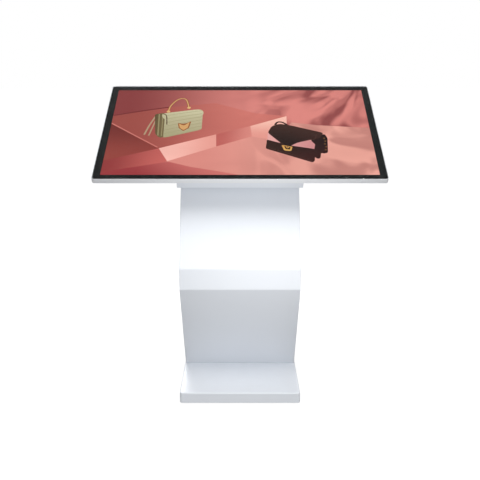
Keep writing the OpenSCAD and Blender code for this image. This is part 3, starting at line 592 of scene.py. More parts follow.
def arc(centre: Point, radius: float, start: float, end: float, steps: int = 8) -> List[Point]:
    """Returns points on an arc, with its start and end in degrees."""
    turns = [math.radians(start + (end - start) * i / steps) for i in range(steps + 1)]
    return [(centre[0] + radius * math.cos(a), centre[1] + radius * math.sin(a)) for a in turns]


def round_rect(width: float, height: float, radius: float, steps: int = 8) -> List[Point]:
    """Returns the outline of a centred rectangle with round corners, anticlockwise."""
    x, y = width / 2 - radius, height / 2 - radius
    corners = [((x, y), 0), ((-x, y), 90), ((-x, -y), 180), ((x, -y), 270)]
    return [p for centre, start in corners for p in arc(centre, radius, start, start + 90, steps)]


def circle(radius: float, steps: int = 32) -> List[Point]:
    """Returns the outline of a circle around the origin."""
    return arc((0.0, 0.0), radius, 0.0, 360.0 * (steps - 1) / steps, steps - 1)


def smooth_path(points: Sequence[Point], steps: int = 6) -> List[Point]:
    """Returns a smooth curve through the points, which run from one end to the other.

    Args:
        points: Two or more points, in order.
        steps: Points made for each stretch.
    """
    ends = [Vector(points[0])] + [Vector(p) for p in points] + [Vector(points[-1])]
    made = []
    for a, b, c, d in zip(ends, ends[1:], ends[2:], ends[3:]):
        for k in range(steps):
            t = k / steps
            made.append(0.5 * (2 * b + (c - a) * t + (2 * a - 5 * b + 4 * c - d) * t * t
                               + (3 * b - a - 3 * c + d) * t ** 3))
    return [tuple(p) for p in made + ends[-1:]]


def soften(points: Sequence[Point], radius: float, steps: int = 4) -> List[Point]:
    """Returns the outline with each corner cut to a small curve.

    Args:
        points: Corners of a closed outline.
        radius: Distance from the corner at which the curve starts.
        steps: Points made for each corner.
    """
    largest_share = 2.2
    made = []
    for i, corner in enumerate(points):
        here = Vector(corner)
        before = Vector(points[i - 1]) - here
        after = Vector(points[(i + 1) % len(points)]) - here
        start = here + before.normalized() * min(radius, before.length / largest_share)
        end = here + after.normalized() * min(radius, after.length / largest_share)
        for k in range(steps + 1):
            t = k / steps
            made.append(tuple(start * (1 - t) ** 2 + here * 2 * t * (1 - t) + end * t * t))
    return made


def band(path: Sequence[Point], width: float, aspect: float) -> List[Point]:
    """Returns the outline of a stripe along a path.

    Args:
        path: The middle of the stripe.
        width: Its width in units of y.
        aspect: Units of y in one unit of x.
    """
    left, right = [], []
    for i, here in enumerate(path):
        ahead, behind = path[min(i + 1, len(path) - 1)], path[max(i - 1, 0)]
        run = Vector(((ahead[0] - behind[0]) * aspect, ahead[1] - behind[1])).normalized()
        side = Vector((-run.y / aspect, run.x)) * width / 2
        left.append((here[0] + side.x, here[1] + side.y))
        right.append((here[0] - side.x, here[1] - side.y))
    return left + right[::-1]


@dataclass(frozen=True)
class Axes:
    """A local frame: where it starts, its side, along and outward directions."""

    origin: Vector
    side: Vector
    along: Vector
    out: Vector

    def point(self, x: float, u: float, h: float = 0.0) -> Vector:
        """Returns the place that lies x to the side, u along and h outward."""
        return self.origin + self.side * x + self.along * u + self.out * h

    def moved(self, x: float, u: float) -> "Axes":
        """Returns the same frame, started x to the side and u along."""
        return Axes(self.point(x, u), self.side, self.along, self.out)

    def box(self, node: str) -> Tuple[Vector, Vector]:
        """Returns the low and high corners of a frame node in this frame.

        Args:
            node: Name of the frame node.
        """
        local = [v.co - self.origin for v in frame["nodes"][node].data.vertices]
        spans = [(p.dot(self.side), p.dot(self.along), p.dot(self.out)) for p in local]
        return (Vector([min(s[i] for s in spans) for i in range(3)]),
                Vector([max(s[i] for s in spans) for i in range(3)]))


UPRIGHT = Axes(Vector((0, 0, 0)), Vector((1, 0, 0)), Vector((0, 1, 0)), Vector((0, 0, 1)))


class MeshMaker:
    """Builds one mesh piece from outlines and sweeps."""

    def __init__(self) -> None:
        """Starts an empty mesh."""
        self.bm = bmesh.new()

    def slab(self, axes: Axes, outline: Sequence[Point], low: float, high: float) -> None:
        """Adds a solid with that outline, from the height low to high.

        Args:
            axes: The frame in which the outline lies.
            outline: Points (x, u), anticlockwise.
            low: Height of the bottom face.
            high: Height of the top face.
        """
        bottom = [self.bm.verts.new(axes.point(x, u, low)) for x, u in outline]
        top = [self.bm.verts.new(axes.point(x, u, high)) for x, u in outline]
        self.bm.faces.new(bottom[::-1])
        self.bm.faces.new(top)
        self._wall(bottom, top)

    def ring(self, axes: Axes, outer: Sequence[Point], inner: Sequence[Point], low: float,
             high: float) -> None:
        """Adds a frame between two outlines that have equal counts of points.

        Args:
            axes: The frame in which the outlines lie.
            outer: Outer points (x, u), anticlockwise.
            inner: Inner points, each beside its outer one.
            low: Height of the bottom face.
            high: Height of the top face.
        """
        rows = [[self.bm.verts.new(axes.point(x, u, h)) for x, u in line]
                for line, h in ((outer, low), (outer, high), (inner, high), (inner, low))]
        for i, row in enumerate(rows):
            self._wall(row, rows[(i + 1) % 4])

    def lathe(self, axes: Axes, profile: Sequence[Point], steps: int) -> None:
        """Adds a turned solid around the frame's outward axis.

        Args:
            axes: The frame whose origin and outward axis the solid turns about.
            profile: Points (radius, height) from end to end; a radius of 0 closes it.
            steps: Segments around the axis.
        """
        rows = []
        for radius, height in profile:
            loop = circle(radius, steps) if radius > 0.0 else [(0.0, 0.0)]
            rows.append([self.bm.verts.new(axes.point(x, u, height)) for x, u in loop])
        for low, high in zip(rows, rows[1:]):
            self._wall(low, high)

    def sweep(self, stations: Sequence[Sequence[Vector]], closed: bool) -> None:
        """Adds a skin through rows of points.

        Args:
            stations: Rows with equal counts of points.
            closed: Whether each row is a closed loop.
        """
        rows = [[self.bm.verts.new(p) for p in row] for row in stations]
        for low, high in zip(rows, rows[1:]):
            for i in range(len(low) if closed else len(low) - 1):
                k = (i + 1) % len(low)
                self.bm.faces.new((low[i], low[k], high[k], high[i]))

    def _wall(self, low: List[bmesh.types.BMVert], high: List[bmesh.types.BMVert]) -> None:
        """Joins two loops, either of which may be a single point."""
        count = max(len(low), len(high))
        for i in range(count):
            k = (i + 1) % count
            face = (low[i % len(low)], low[k % len(low)], high[k % len(high)], high[i % len(high)])
            corners = list(dict.fromkeys(face))
            if len(corners) > 2:
                self.bm.faces.new(corners)

    def finish(self, name: str, materials: Sequence[bpy.types.Material],
               smooth: bool = True) -> bpy.types.Object:
        """Turns the mesh into a scene object.

        Args:
            name: Name of the piece.
            materials: Its materials, in slot order.
            smooth: Whether its faces are shaded smooth.

        Returns:
            The new object.
        """
        bmesh.ops.recalc_face_normals(self.bm, faces=self.bm.faces)
        mesh = bpy.data.meshes.new(name)
        self.bm.to_mesh(mesh)
        self.bm.free()
        for material in materials:
            mesh.materials.append(material)
        made = bpy.data.objects.new(name, mesh)
        bpy.context.scene.collection.objects.link(made)
        shade(made, smooth)
        return made


def shade(piece: bpy.types.Object, smooth: bool) -> None:
    """Sets smooth or flat shading on every face of a piece."""
    piece.data.polygons.foreach_set("use_smooth", [smooth] * len(piece.data.polygons))


def round_edges(piece: bpy.types.Object, width: float, segments: int = 2,
                weld: bool = False) -> None:
    """Adds modifiers that round a piece's sharp edges and keep its flats flat.

    Args:
        piece: The object.
        width: Width of the rounded edge, or 0 for none.
        segments: Faces across it.
        weld: Whether split corners are joined first, as a frame node needs.
    """
    weld_gap, sharp_angle = 0.002 * MM, math.radians(32)
    shade(piece, True)
    if weld:
        piece.modifiers.new("joined", "WELD").merge_threshold = weld_gap
    if width > 0.0:
        edge = piece.modifiers.new("edge", "BEVEL")
        edge.width = width
        edge.segments = segments
        edge.limit_method = "ANGLE"
        edge.angle_limit = sharp_angle
        edge.use_clamp_overlap = True
    piece.modifiers.new("flat", "WEIGHTED_NORMAL").keep_sharp = True


# ---- Sub-assemblies ----

@dataclass(frozen=True)
class Dress:
    """One look for some frame nodes: the finish, and the width and faces of round edges."""

    finish: Finish
    edge: float
    nodes: Tuple[str, ...]
    segments: int = 2


Dresses = ClassVar[Tuple[Dress, ...]]


@dataclass
class SubAssembly:
    """A group of pieces that a bench would hold together."""

    paints: Paintbox
    dresses: Dresses = ()

    def build(self) -> List[str]:
        """Makes the group's own pieces and dresses its frame nodes.

        Returns:
            The names of the pieces, which main logs.
        """
        made = self._pieces()
        for dress in self.dresses:
            for node in dress.nodes:
                self._dress(node, dress)
                made.append(node)
        return made

    def _pieces(self) -> List[str]:
        """Makes the pieces that are modelled anew, if any, and returns their names."""
        return []

    def _dress(self, node: str, dress: Dress) -> None:
        """Gives a frame node its finish and round edges.

        Args:
            node: Name of the frame node.
            dress: The look.
        """
        piece = frame["nodes"][node]
        material = self.paints.material(dress.finish)
        if not piece.material_slots:
            piece.data.materials.append(material)
        for slot in piece.material_slots:
            slot.material = material
        round_edges(piece, dress.edge, dress.segments, weld=True)

    def _finish(self, maker: MeshMaker, name: str, *finishes: Finish,
                smooth: bool = True) -> bpy.types.Object:
        """Turns a mesh into a piece with these finishes, in slot order."""
        return maker.finish(name, [self.paints.material(f) for f in finishes], smooth)

    def _place(self, piece: bpy.types.Object, body: str, slot: str, *nodes: str) -> str:
        """Makes a new piece ride on a body and stand for its frame nodes.

        Args:
            piece: The new object.
            body: The body that it moves with.
            slot: The record's material slot; not used.
            *nodes: Frame nodes that it replaces, if any.

        Returns:
            The piece's name.
        """
        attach(piece, body)
        if nodes:
            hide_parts(*nodes)
        return piece.name


def screen_axes() -> Axes:
    """Returns the screen's frame: the middle of the glass's front edge, up the slope and out."""
    press = next(j for j in frame["joints"] if j["name"] == "button_press")
    along = Vector(press["axis"]).normalized()
    side = Vector((1.0, 0.0, 0.0))
    out = side.cross(along)
    low, high = Axes(Vector((0.0, 0.0, 0.0)), side, along, out).box("touch_glass")
    return Axes(along * low.y + out * high.z, side, along, out)


SCREEN = screen_axes()


# ---- The lit picture ----

def tone(name: str, near: Triple, far: Triple, leaf: Leaf = Leaf.NONE,
         **shape: Point) -> PictureTone:
    """Returns a tone of the picture, with its display colours given from 0 to 255."""
    return PictureTone("picture_" + name, tuple(c / 255 for c in near), 0.5,
                       far=tuple(c / 255 for c in far), leaf=leaf, **shape)


def trace(text: str) -> Tuple[Point, ...]:
    """Returns points written as x,y in thousandths of the picture's width and height."""
    return tuple(tuple(int(part) / 1000 for part in pair.split(",")) for pair in text.split())


@dataclass(frozen=True)
class Patch:
    """One flat region of the picture, outlined in shares of the picture's sides."""

    tone: PictureTone
    outline: Tuple[Point, ...]


def soft_patch(look: PictureTone, corners: Sequence[Point], radius: float) -> Patch:
    """Returns a region with its corners rounded."""
    return Patch(look, tuple(soften(corners, radius)))


@dataclass
class StillLife:
    """A still life of two plain hand bags on a pink plinth, in leaf shade."""

    aspect: float

    def patches(self) -> List[Patch]:
        """Returns every region, from the back of the picture to its front."""
        return self._room() + self._pale_bag() + self._dark_bag()

    def _line(self, look: PictureTone, path: Sequence[Point], width: float) -> Patch:
        """Returns a smooth stripe of that width along a path."""
        return Patch(look, tuple(band(smooth_path(path), width, self.aspect)))

    def _dot(self, look: PictureTone, centre: Point, radius: float) -> Patch:
        """Returns a round dot, with its radius as a share of the picture's height."""
        return Patch(look, tuple((centre[0] + x / self.aspect, centre[1] + y)
                                  for x, y in circle(radius, 14)))

    def _room(self) -> List[Patch]:
        """Returns the wall, the plinth and the floor."""
        wall = tone("wall", (134, 58, 58), (218, 132, 124), Leaf.DEEP, span=(0.05, 0.62))
        top = tone("plinth_top", (154, 74, 66), (208, 118, 108), Leaf.FAINT, span=(0.05, 0.6))
        shade_side = tone("plinth_shade", (112, 44, 40), (146, 66, 58), lean=(0.0, 1.0),
                          span=(0.55, 0.2))
        low_front = tone("plinth_low", (142, 54, 54), (196, 98, 92), span=(0.0, 0.25))
        bright = tone("plinth_front", (248, 186, 174), (230, 156, 144), span=(0.22, 0.42))
        middle = tone("plinth_middle", (188, 96, 90), (216, 134, 124), span=(0.42, 0.55))
        facet = tone("plinth_facet", (246, 188, 172), (226, 150, 138), lean=(0.0, 1.0),
                     span=(0.62, 0.42))
        floor = tone("floor", (216, 136, 126), (236, 166, 152), Leaf.SOFT, span=(0.3, 0.8),
                     fan=(0.50, 0.78))
        shaded = tone("floor_shade", (150, 54, 58), (206, 114, 108), lean=(0.8, 0.45),
                      span=(0.1, 0.40))
        seam = tone("plinth_seam", (206, 120, 110), (190, 98, 90))
        crease = tone("crease", (112, 42, 44), (128, 52, 52))
        return [
            Patch(wall, trace("0,0 1000,0 1000,1000 0,1000")),
            Patch(top, trace("0,675 0,150 197,285 409,444 540,542 683,664 560,700 400,830 345,812 "
                             "212,775")),
            self._line(crease, trace("2,672 110,728 215,776"), 0.012),
            Patch(shade_side, trace("0,570 0,150 197,285")),
            self._line(seam, trace("2,575 90,445 192,296"), 0.010),
            Patch(floor, trace("80,0 1000,0 1000,520 800,553 700,587 681,520 545,420 411,306 "
                               "234,144")),
            Patch(low_front, trace("0,0 100,0 234,144 197,285 0,150")),
            Patch(shaded, trace("0,0 500,0 430,35 320,85 238,140 120,85 0,30")),
            Patch(bright, trace("197,285 234,144 411,306 409,444")),
            Patch(middle, trace("409,444 411,306 545,420 540,542")),
            Patch(facet, trace("540,542 545,420 602,392 681,520 683,664")),
        ]

    def _pale_bag(self) -> List[Patch]:
        """Returns the pale green bag with a curved handle."""
        side = tone("sage_side", (84, 72, 44), (112, 102, 68), span=(0.16, 0.21))
        fold = tone("sage_fold", (150, 142, 102), (132, 124, 88))
        front = tone("sage_front", (168, 164, 126), (190, 184, 148), lean=(0.2, 1.0),
                     span=(0.45, 0.70))
        flap = tone("sage_flap", (184, 180, 142), (202, 196, 160), lean=(0.2, 1.0), span=(0.6, 0.8))
        line = tone("sage_line", (158, 152, 114), (168, 162, 126))
        dark = tone("sage_edge", (70, 56, 34), (58, 44, 26))
        strap = tone("sage_strap", (178, 152, 122), (160, 132, 104))
        gold = tone("gold", (216, 166, 106), (228, 184, 124), lean=(0.0, 1.0), span=(0.45, 0.9))
        brass = tone("gold_dark", (158, 98, 54), (128, 76, 40))
        handle = trace("214,706 222,790 243,862 266,890 285,862 297,755")
        ribs = [((0.214 - 0.001 * k, 0.672 - 0.044 * k), (0.282, 0.705 - 0.041 * k),
                 (0.351, 0.733 - 0.038 * k)) for k in range(7)]
        return [
            self._line(strap, trace("173,690 150,560 134,440"), 0.012),
            self._line(strap, trace("176,670 163,540 152,430"), 0.010),
            soft_patch(side, trace("163,690 208,706 210,412 194,404 176,446"), 0.02),
            self._line(fold, trace("181,690 184,560 187,430"), 0.010),
            self._line(fold, trace("195,694 198,560 200,424"), 0.007),
            soft_patch(front, trace("204,686 208,402 352,500 353,742"), 0.02),
            soft_patch(flap, trace("190,696 196,640 214,612 352,668 357,712 344,754"), 0.03),
            *(self._line(line, rib, 0.004) for rib in ribs),
            self._line(dark, trace("196,690 210,668 216,560"), 0.007),
            self._line(brass, handle, 0.015),
            self._line(gold, handle, 0.006),
            self._dot(gold, (0.216, 0.722), 0.013),
            self._dot(gold, (0.296, 0.770), 0.013),
            soft_patch(brass, trace("258,580 263,520 282,482 303,520 310,602 296,580 283,572 "
                                    "270,572"), 0.008),
            soft_patch(gold, trace("262,570 268,520 282,494 298,522 304,590 283,548"), 0.008),
        ]

    def _dark_bag(self) -> List[Patch]:
        """Returns the dark brown bag with its flap and pink lining."""
        hide = tone("hide", (50, 28, 22), (32, 17, 14), span=(0.60, 0.80))
        under = tone("hide_under", (30, 16, 13), (18, 10, 9), span=(0.77, 0.83))
        flap = tone("hide_flap", (62, 38, 31), (34, 19, 16), lean=(0.3, 1.0), span=(0.80, 0.52))
        lining = tone("lining", (226, 164, 160), (206, 138, 138), span=(0.60, 0.78))
        edge = tone("hide_edge", (92, 62, 52), (70, 46, 40))
        gold = tone("clasp", (226, 180, 100), (204, 150, 80), lean=(0.0, 1.0), span=(0.24, 0.32))
        chain = tone("chain", (150, 106, 60), (122, 84, 46))
        return [
            soft_patch(under, trace("768,200 786,168 796,180 800,235 812,226 826,238 832,400 "
                                    "824,448 770,420"), 0.012),
            Patch(lining, trace("606,462 604,380 690,314 776,270 782,330 768,372 690,400")),
            soft_patch(hide, trace("602,384 596,282 766,130 774,152 778,278 686,318"), 0.010),
            soft_patch(flap, trace("606,464 622,540 652,572 700,548 820,462 800,392 762,378 "
                                   "712,345 684,306 664,316"), 0.018),
            self._line(edge, trace("611,462 640,384 668,318"), 0.004),
            self._line(edge, trace("690,314 726,360 764,382"), 0.004),
            self._line(edge, trace("604,296 690,216 764,146"), 0.003),
            self._line(hide, trace("636,556 646,588 664,588 684,554"), 0.014),
            self._line(edge, trace("792,446 786,402 776,380"), 0.005),
            soft_patch(gold, trace("655,322 664,262 690,254 697,304 686,306 668,318"), 0.010),
            soft_patch(hide, trace("665,312 670,276 686,270 689,300"), 0.006),
            self._line(gold, trace("672,306 678,288 684,304"), 0.006),
            *(self._dot(chain, (0.819 + 0.003 * (i % 2), 0.270 + 0.032 * i), 0.006)
              for i in range(5)),
        ]


# ---- Screen ----

@dataclass
class Screen(SubAssembly):
    """Glass, printed border, lit picture, rim and rear cover."""

    dresses: Dresses = (
        Dress(TOUCH_FILM, 0.0, ("touch_sensor",)),
        Dress(BLACK_TAPE, 0.0, ("glass_tape",)),
        Dress(GUIDE_ACRYLIC, 0.3 * MM, ("light_guide",)),
        Dress(LAMP_STRIP, 0.1 * MM, ("led_bars",)),
        Dress(ZINC_STEEL, 0.2 * MM, ("backlight_tray",)),
        Dress(ZINC_STEEL, 0.4 * MM, ("panel_rails",)),
        Dress(RIM_COAT, 0.5 * MM, ("monitor_frame",), 3),
        Dress(WHITE_COAT, 0.35 * MM, ("rear_cover",)),
        Dress(FASTENER, 0.25 * MM, ("cover_screws",)),
    )
    glass_edge: float = 0.6 * MM
    ink: float = 0.03 * MM
    tape_gap: float = 0.05 * MM
    border_inset: float = 0.3 * MM
    light_radius: float = 1.7 * MM
    picture_corner: float = 1.0 * MM
    picture_depth: float = 0.01 * MM

    def __post_init__(self) -> None:
        """Measures the glass, the display cell and the picture on the frame's nodes."""
        self.low, self.high = SCREEN.box("touch_glass")
        self.cell_low, self.cell_high = SCREEN.box("display_panel")
        bar_low, bar_high = SCREEN.box("led_bars")
        self.picture_w = bar_high.x - bar_low.x
        margin = (self.cell_high.x - self.cell_low.x - self.picture_w) / 2
        self.picture_h = self.cell_high.y - self.cell_low.y - 2 * margin
        self.cell_half = (self.picture_w / 2 + margin, self.picture_h / 2 + margin)
        self.axes = SCREEN.moved(0.0, (self.low.y + self.high.y) / 2)
        edge = [abs((v.co - SCREEN.origin).dot(SCREEN.side))
                for v in frame["nodes"]["touch_glass"].data.vertices
                if (v.co - SCREEN.origin).dot(SCREEN.along) < self.low.y + 0.01 * MM]
        self.corner = self.high.x - max(edge)

    def _pieces(self) -> List[str]:
        """Makes the pane, the border, the status light's window and the picture."""
        return [self._pane(), self._border(), self._status_dot(), self._picture()]

    def _glass_outline(self, inset: float, steps: int) -> List[Point]:
        """Returns the outline of the glass, drawn in by an inset."""
        return round_rect(2 * (self.high.x - inset), self.high.y - self.low.y - 2 * inset,
                          self.corner - inset, steps)

    def _pane(self) -> str:
        """Makes the clear front glass with polished edges."""
        maker = MeshMaker()
        maker.slab(self.axes, self._glass_outline(0.0, 12), self.low.z + self.tape_gap, self.high.z)
        pane = self._finish(maker, "front_pane", FRONT_GLASS)
        round_edges(pane, self.glass_edge, 3)
        return self._place(pane, "stand", "front_glass", "touch_glass")

    def _border(self) -> str:
        """Makes the black border printed on the back of the glass."""
        outer = self._glass_outline(self.border_inset, 8)
        inner = round_rect(self.picture_w, self.picture_h, self.picture_corner)
        maker = MeshMaker()
        maker.ring(self.axes, outer, inner, self.low.z + 0.2 * self.ink, self.low.z + self.ink)
        border = self._finish(maker, "border_print", BLACK_TAPE, smooth=False)
        return self._place(border, "stand", "black_tape")

    def _status_dot(self) -> str:
        """Makes the window in the print through which the status light shows."""
        low, high = SCREEN.box("indicator_lens")
        axes = SCREEN.moved((low.x + high.x) / 2, (low.y + high.y) / 2)
        maker = MeshMaker()
        maker.slab(axes, circle(self.light_radius, 24), self.low.z + self.ink,
                   self.low.z + 1.3 * self.ink)
        dot = self._finish(maker, "status_window", LENS_CLEAR, smooth=False)
        return self._place(dot, "stand", "lens_clear")

    def _picture(self) -> str:
        """Makes the display cell, whose front is one flat mesh cut into the picture's regions."""
        patches = StillLife(self.picture_w / self.picture_h).patches()
        x, y = self.cell_half
        cell = [(-x, -y), (x, -y), (x, y), (-x, y)]
        outlines = [cell] + [[((x - 0.5) * self.picture_w, (y - 0.5) * self.picture_h)
                              for x, y in patch.outline] for patch in patches]
        points: List[Vector] = []
        loops: List[List[int]] = []
        for outline in outlines:
            if sum(a[0] * b[1] - b[0] * a[1]
                   for a, b in zip(outline, outline[1:] + outline[:1])) < 0.0:
                outline.reverse()
            loops.append(list(range(len(points), len(points) + len(outline))))
            points += [Vector(p) for p in outline]
        corners, _, faces, _, _, owners = delaunay_2d_cdt(points, [], loops, 1, 1e-6)
        tones = list(dict.fromkeys(patch.tone for patch in patches))
        maker = MeshMaker()
        front = [maker.bm.verts.new(self.axes.point(p.x, p.y, self.cell_high.z)) for p in corners]
        for face, owner in zip(faces, owners):
            top = max(owner)
            made = maker.bm.faces.new([front[i] for i in face])
            made.material_index = 0 if top == 0 else 1 + tones.index(patches[top - 1].tone)
        maker.slab(self.axes, cell, self.cell_low.z, self.cell_high.z - self.picture_depth)
        piece = self._finish(maker, "display_cell", BLACK_TAPE, *tones, smooth=False)
        return self._place(piece, "stand", "lit_picture", "display_panel")


# ---- Neck ----

@dataclass
class Neck(SubAssembly):
    """Box between the leg and the screen, with its plates and bolts."""

    dresses: Dresses = (
        Dress(WHITE_COAT, 0.8 * MM, ("neck_box",), 3),
        Dress(DARK_STEEL, 0.5 * MM, ("neck_doubler",)),
        Dress(ZINC_STEEL, 0.4 * MM, ("screen_plate",)),
        Dress(GROMMET_RUBBER, 0.6 * MM, ("cable_grommet",)),
        Dress(FASTENER, 0.25 * MM, ("neck_screws", "screen_bolts", "head_bolts")),
    )


# ---- Leg ----

@dataclass
class Leg(SubAssembly):
    """Folded steel leg with a forward knee."""

    dresses: Dresses = (
        Dress(WHITE_COAT, 0.4 * MM, ("leg_rear_lower", "leg_rear_upper")),
        Dress(ZINC_STEEL, 0.4 * MM, ("leg_ribs", "leg_foot_flange", "leg_head_flange")),
        Dress(FASTENER, 0.4 * MM, ("foot_bolts",)),
    )
    fold: float = 3.0 * MM
    fold_steps: int = 5
    same_place: float = 0.01 * MM
    same_height: float = 0.1 * MM

    def _pieces(self) -> List[str]:
        """Makes the folded shell."""
        return [self._shell()]

    def _outline(self) -> List[Vector]:
        """Returns the outline of the leg's side, from its front foot up and around."""
        bm = bmesh.new()
        bm.from_mesh(frame["nodes"]["leg_side_left"].data)
        bmesh.ops.remove_doubles(bm, verts=bm.verts, dist=self.same_place)
        outer = {f for f in bm.faces if f.normal.x < -0.99}
        rim = [e for e in bm.edges if sum(f in outer for f in e.link_faces) == 1]
        beside: Dict[int, List[bmesh.types.BMVert]] = {}
        for edge in rim:
            for v in edge.verts:
                beside.setdefault(v.index, []).append(edge.other_vert(v))
        foot = min(v.co.z for e in rim for v in e.verts) + self.same_height
        start = min((v for e in rim for v in e.verts if v.co.z < foot), key=lambda v: v.co.y)
        loop, here = [start], max(beside[start.index], key=lambda v: v.co.z)
        while here is not start:
            loop.append(here)
            here = next(v for v in beside[here.index] if v is not loop[-2])
        made = [v.co.copy() for v in loop]
        bm.free()
        return made

    def _shell(self) -> str:
        """Makes the front and both sides as one folded sheet with round edges."""
        outline = self._outline()
        half = len(outline) // 2
        low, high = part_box("leg_side_left")
        side = -low.x
        turns = [math.radians(90 * i / self.fold_steps) for i in range(self.fold_steps + 1)]
        rows = []
        for f, r in zip(outline[:half], outline[half:][::-1]):
            back = Vector((0.0, r.y - f.y, r.z - f.z)).normalized()
            corner = Vector((0.0, f.y, f.z)) + back * self.fold
            left = [corner + Vector((-side + self.fold - self.fold * math.cos(a), 0, 0))
                    - back * self.fold * math.sin(a) for a in turns]
            right = [Vector((-p.x, p.y, p.z)) for p in left[::-1]]
            rows.append([Vector((-side, r.y, r.z)), *left, *right, Vector((side, r.y, r.z))])
        maker = MeshMaker()
        maker.sweep(rows, closed=False)
        shell = self._finish(maker, "leg_shell", WHITE_COAT)
        if shell.data.polygons[0].normal.x > 0:
            shell.data.flip_normals()
        skin = shell.modifiers.new("sheet", "SOLIDIFY")
        skin.thickness = high.x - low.x
        skin.offset = -1.0
        skin.use_even_offset = True
        round_edges(shell, 0.0)
        return self._place(shell, "stand", "white_coat", "leg_front_skin", "leg_side_left",
                           "leg_side_right")


# ---- Service door ----

@dataclass
class ServiceDoor(SubAssembly):
    """Door in the leg's rear panel, with its hinges and cam lock."""

    dresses: Dresses = (
        Dress(ZINC_STEEL, 0.3 * MM, ("door_frame",)),
        Dress(WHITE_COAT, 0.4 * MM, ("door_panel",), 3),
        Dress(FASTENER, 0.2 * MM, ("hinge_fixed_leaves", "hinge_door_leaves", "hinge_pins")),
        Dress(CHROME, 0.3 * MM, ("lock_barrel", "lock_nut", "lock_plug", "lock_cam")),
    )


# ---- Base ----

@dataclass
class Base(SubAssembly):
    """Flat base: cover, bottom plate, stiffeners, inlet, switch and feet."""

    dresses: Dresses = (
        Dress(WHITE_COAT, 0.3 * MM, ("base_cover",)),
        Dress(DARK_STEEL, 0.5 * MM, ("base_plate", "base_ribs")),
        Dress(FASTENER, 0.4 * MM, ("foot_nuts",)),
        Dress(BLACK_PLASTIC, 0.4 * MM, ("power_inlet", "switch_housing")),
        Dress(BRASS, 0.3 * MM, ("inlet_pins",)),
        Dress(ROCKER_PLASTIC, 0.5 * MM, ("switch_rocker",), 3),
    )
    thread_pitch: float = 1.25 * MM
    thread_depth: float = 0.45 * MM
    pad_lip: float = 0.6 * MM
    stem_radius: float = 4.0 * MM
    collar: float = 1.7

    def _pieces(self) -> List[str]:
        """Makes the feet."""
        return [self._foot(f"{y}_{x}") for y in ("front", "rear") for x in ("left", "right")]

    def _pad(self, radius: float, top: float) -> List[Point]:
        """Returns the profile of a foot's pad, from the middle of its sole to its collar."""
        lip, collar = self.pad_lip, self.collar * self.stem_radius
        return [(0.0, 0.0), (radius - lip, 0.0), (radius, lip), (radius, top - 1.6 * lip),
                (radius - 0.4 * lip, top - 0.6 * lip), (radius - 2 * lip, top - 0.1 * lip),
                (collar, top - 0.1 * lip), (collar, top), (0.0, top)]

    def _thread(self, low: float, high: float) -> List[Point]:
        """Returns the profile of a foot's stem, with its thread.

        Args:
            low: Height of the pad's top.
            high: Height of the stem's end.
        """
        stem, root = self.stem_radius, self.stem_radius - self.thread_depth
        made = [(0.0, low - 0.2 * self.pad_lip), (stem, low - 0.2 * self.pad_lip)]
        for i in range(int((high - low) / self.thread_pitch)):
            turn = low + i * self.thread_pitch
            made += [(radius, turn + share * self.thread_pitch)
                     for radius, share in ((stem, 0.15), (root, 0.5), (stem, 0.85))]
        return made + [(root, high), (0.0, high)]

    def _foot(self, corner: str) -> str:
        """Makes one levelling foot: a threaded stem in a round rubber pad.

        Args:
            corner: Which corner it stands at, such as front_left.
        """
        node = "levelling_foot_" + corner
        low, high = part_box(node)
        pad_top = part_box("base_plate")[0].z
        axes = UPRIGHT.moved((low.x + high.x) / 2, (low.y + high.y) / 2)
        maker = MeshMaker()
        maker.lathe(axes, self._pad((high.x - low.x) / 2, pad_top), 48)
        first = len(maker.bm.faces)
        maker.lathe(axes, self._thread(pad_top, high.z), 20)
        maker.bm.faces.ensure_lookup_table()
        for face in maker.bm.faces[first:]:
            face.material_index = 1
        foot = self._finish(maker, "foot_" + corner, FOOT_RUBBER, FASTENER)
        round_edges(foot, 0.0)
        return self._place(foot, "foot_" + corner, "foot_rubber", node)


# ---- Electronics, fan, light and button ----

@dataclass
class Electronics(SubAssembly):
    """Boards, supply, speakers and the mains lead inside the kiosk."""

    dresses: Dresses = (
        Dress(BOARD_GREEN, 0.1 * MM, ("main_board",)),
        Dress(HEATSINK, 0.2 * MM, ("board_heatsink",)),
        Dress(SUPPLY_CASE, 0.4 * MM, ("power_supply",)),
        Dress(BLACK_PLASTIC, 0.8 * MM, ("speakers",)),
        Dress(BLACK_PLASTIC, 0.2 * MM, ("button_switch",)),
    )
    lead_sides: int = 12
    lead_radius: float = 3.5 * MM

    def _pieces(self) -> List[str]:
        """Makes the lead."""
        return [self._lead()]

    def _route(self) -> List[Vector]:
        """Returns the mains lead's route, from the inlet up the leg to the supply."""
        in_base = [(-60, 244, 23), (-60, 225, 23), (-55, 190, 21), (-40, 140, 20), (-15, 90, 20)]
        in_leg = [(60, 26), (49, 42), (40, 62), (15, 100), (-45, 195), (-110, 297), (-160, 376),
                  (-184, 418), (-197, 448), (-194, 482), (-173, 520), (-126, 600), (-79, 682),
                  (-54, 725), (-32, 763), (-18, 786), (-19, 801), (-30, 819), (-45, 834),
                  (-58.4, 857.2)]
        return [Vector(p) * MM for p in in_base + [(0, y, z) for y, z in in_leg]]

    def _lead(self) -> str:
        """Makes the mains lead as one smooth round cable."""
        path = [Vector(p) for p in smooth_path(self._route(), 3)]
        rows = []
        for i, here in enumerate(path):
            run = (path[min(i + 1, len(path) - 1)] - path[max(i - 1, 0)]).normalized()
            side = run.cross(Vector((1.0, 0.02, 0.0))).normalized()
            up = side.cross(run).normalized()
            rows.append([here + side * x + up * y
                         for x, y in circle(self.lead_radius, self.lead_sides)])
        maker = MeshMaker()
        maker.sweep(rows, closed=True)
        bmesh.ops.holes_fill(maker.bm, edges=maker.bm.edges)
        lead = self._finish(maker, "mains_cable", GROMMET_RUBBER)
        round_edges(lead, 0.0)
        return self._place(lead, "stand", "grommet_rubber", "mains_lead")


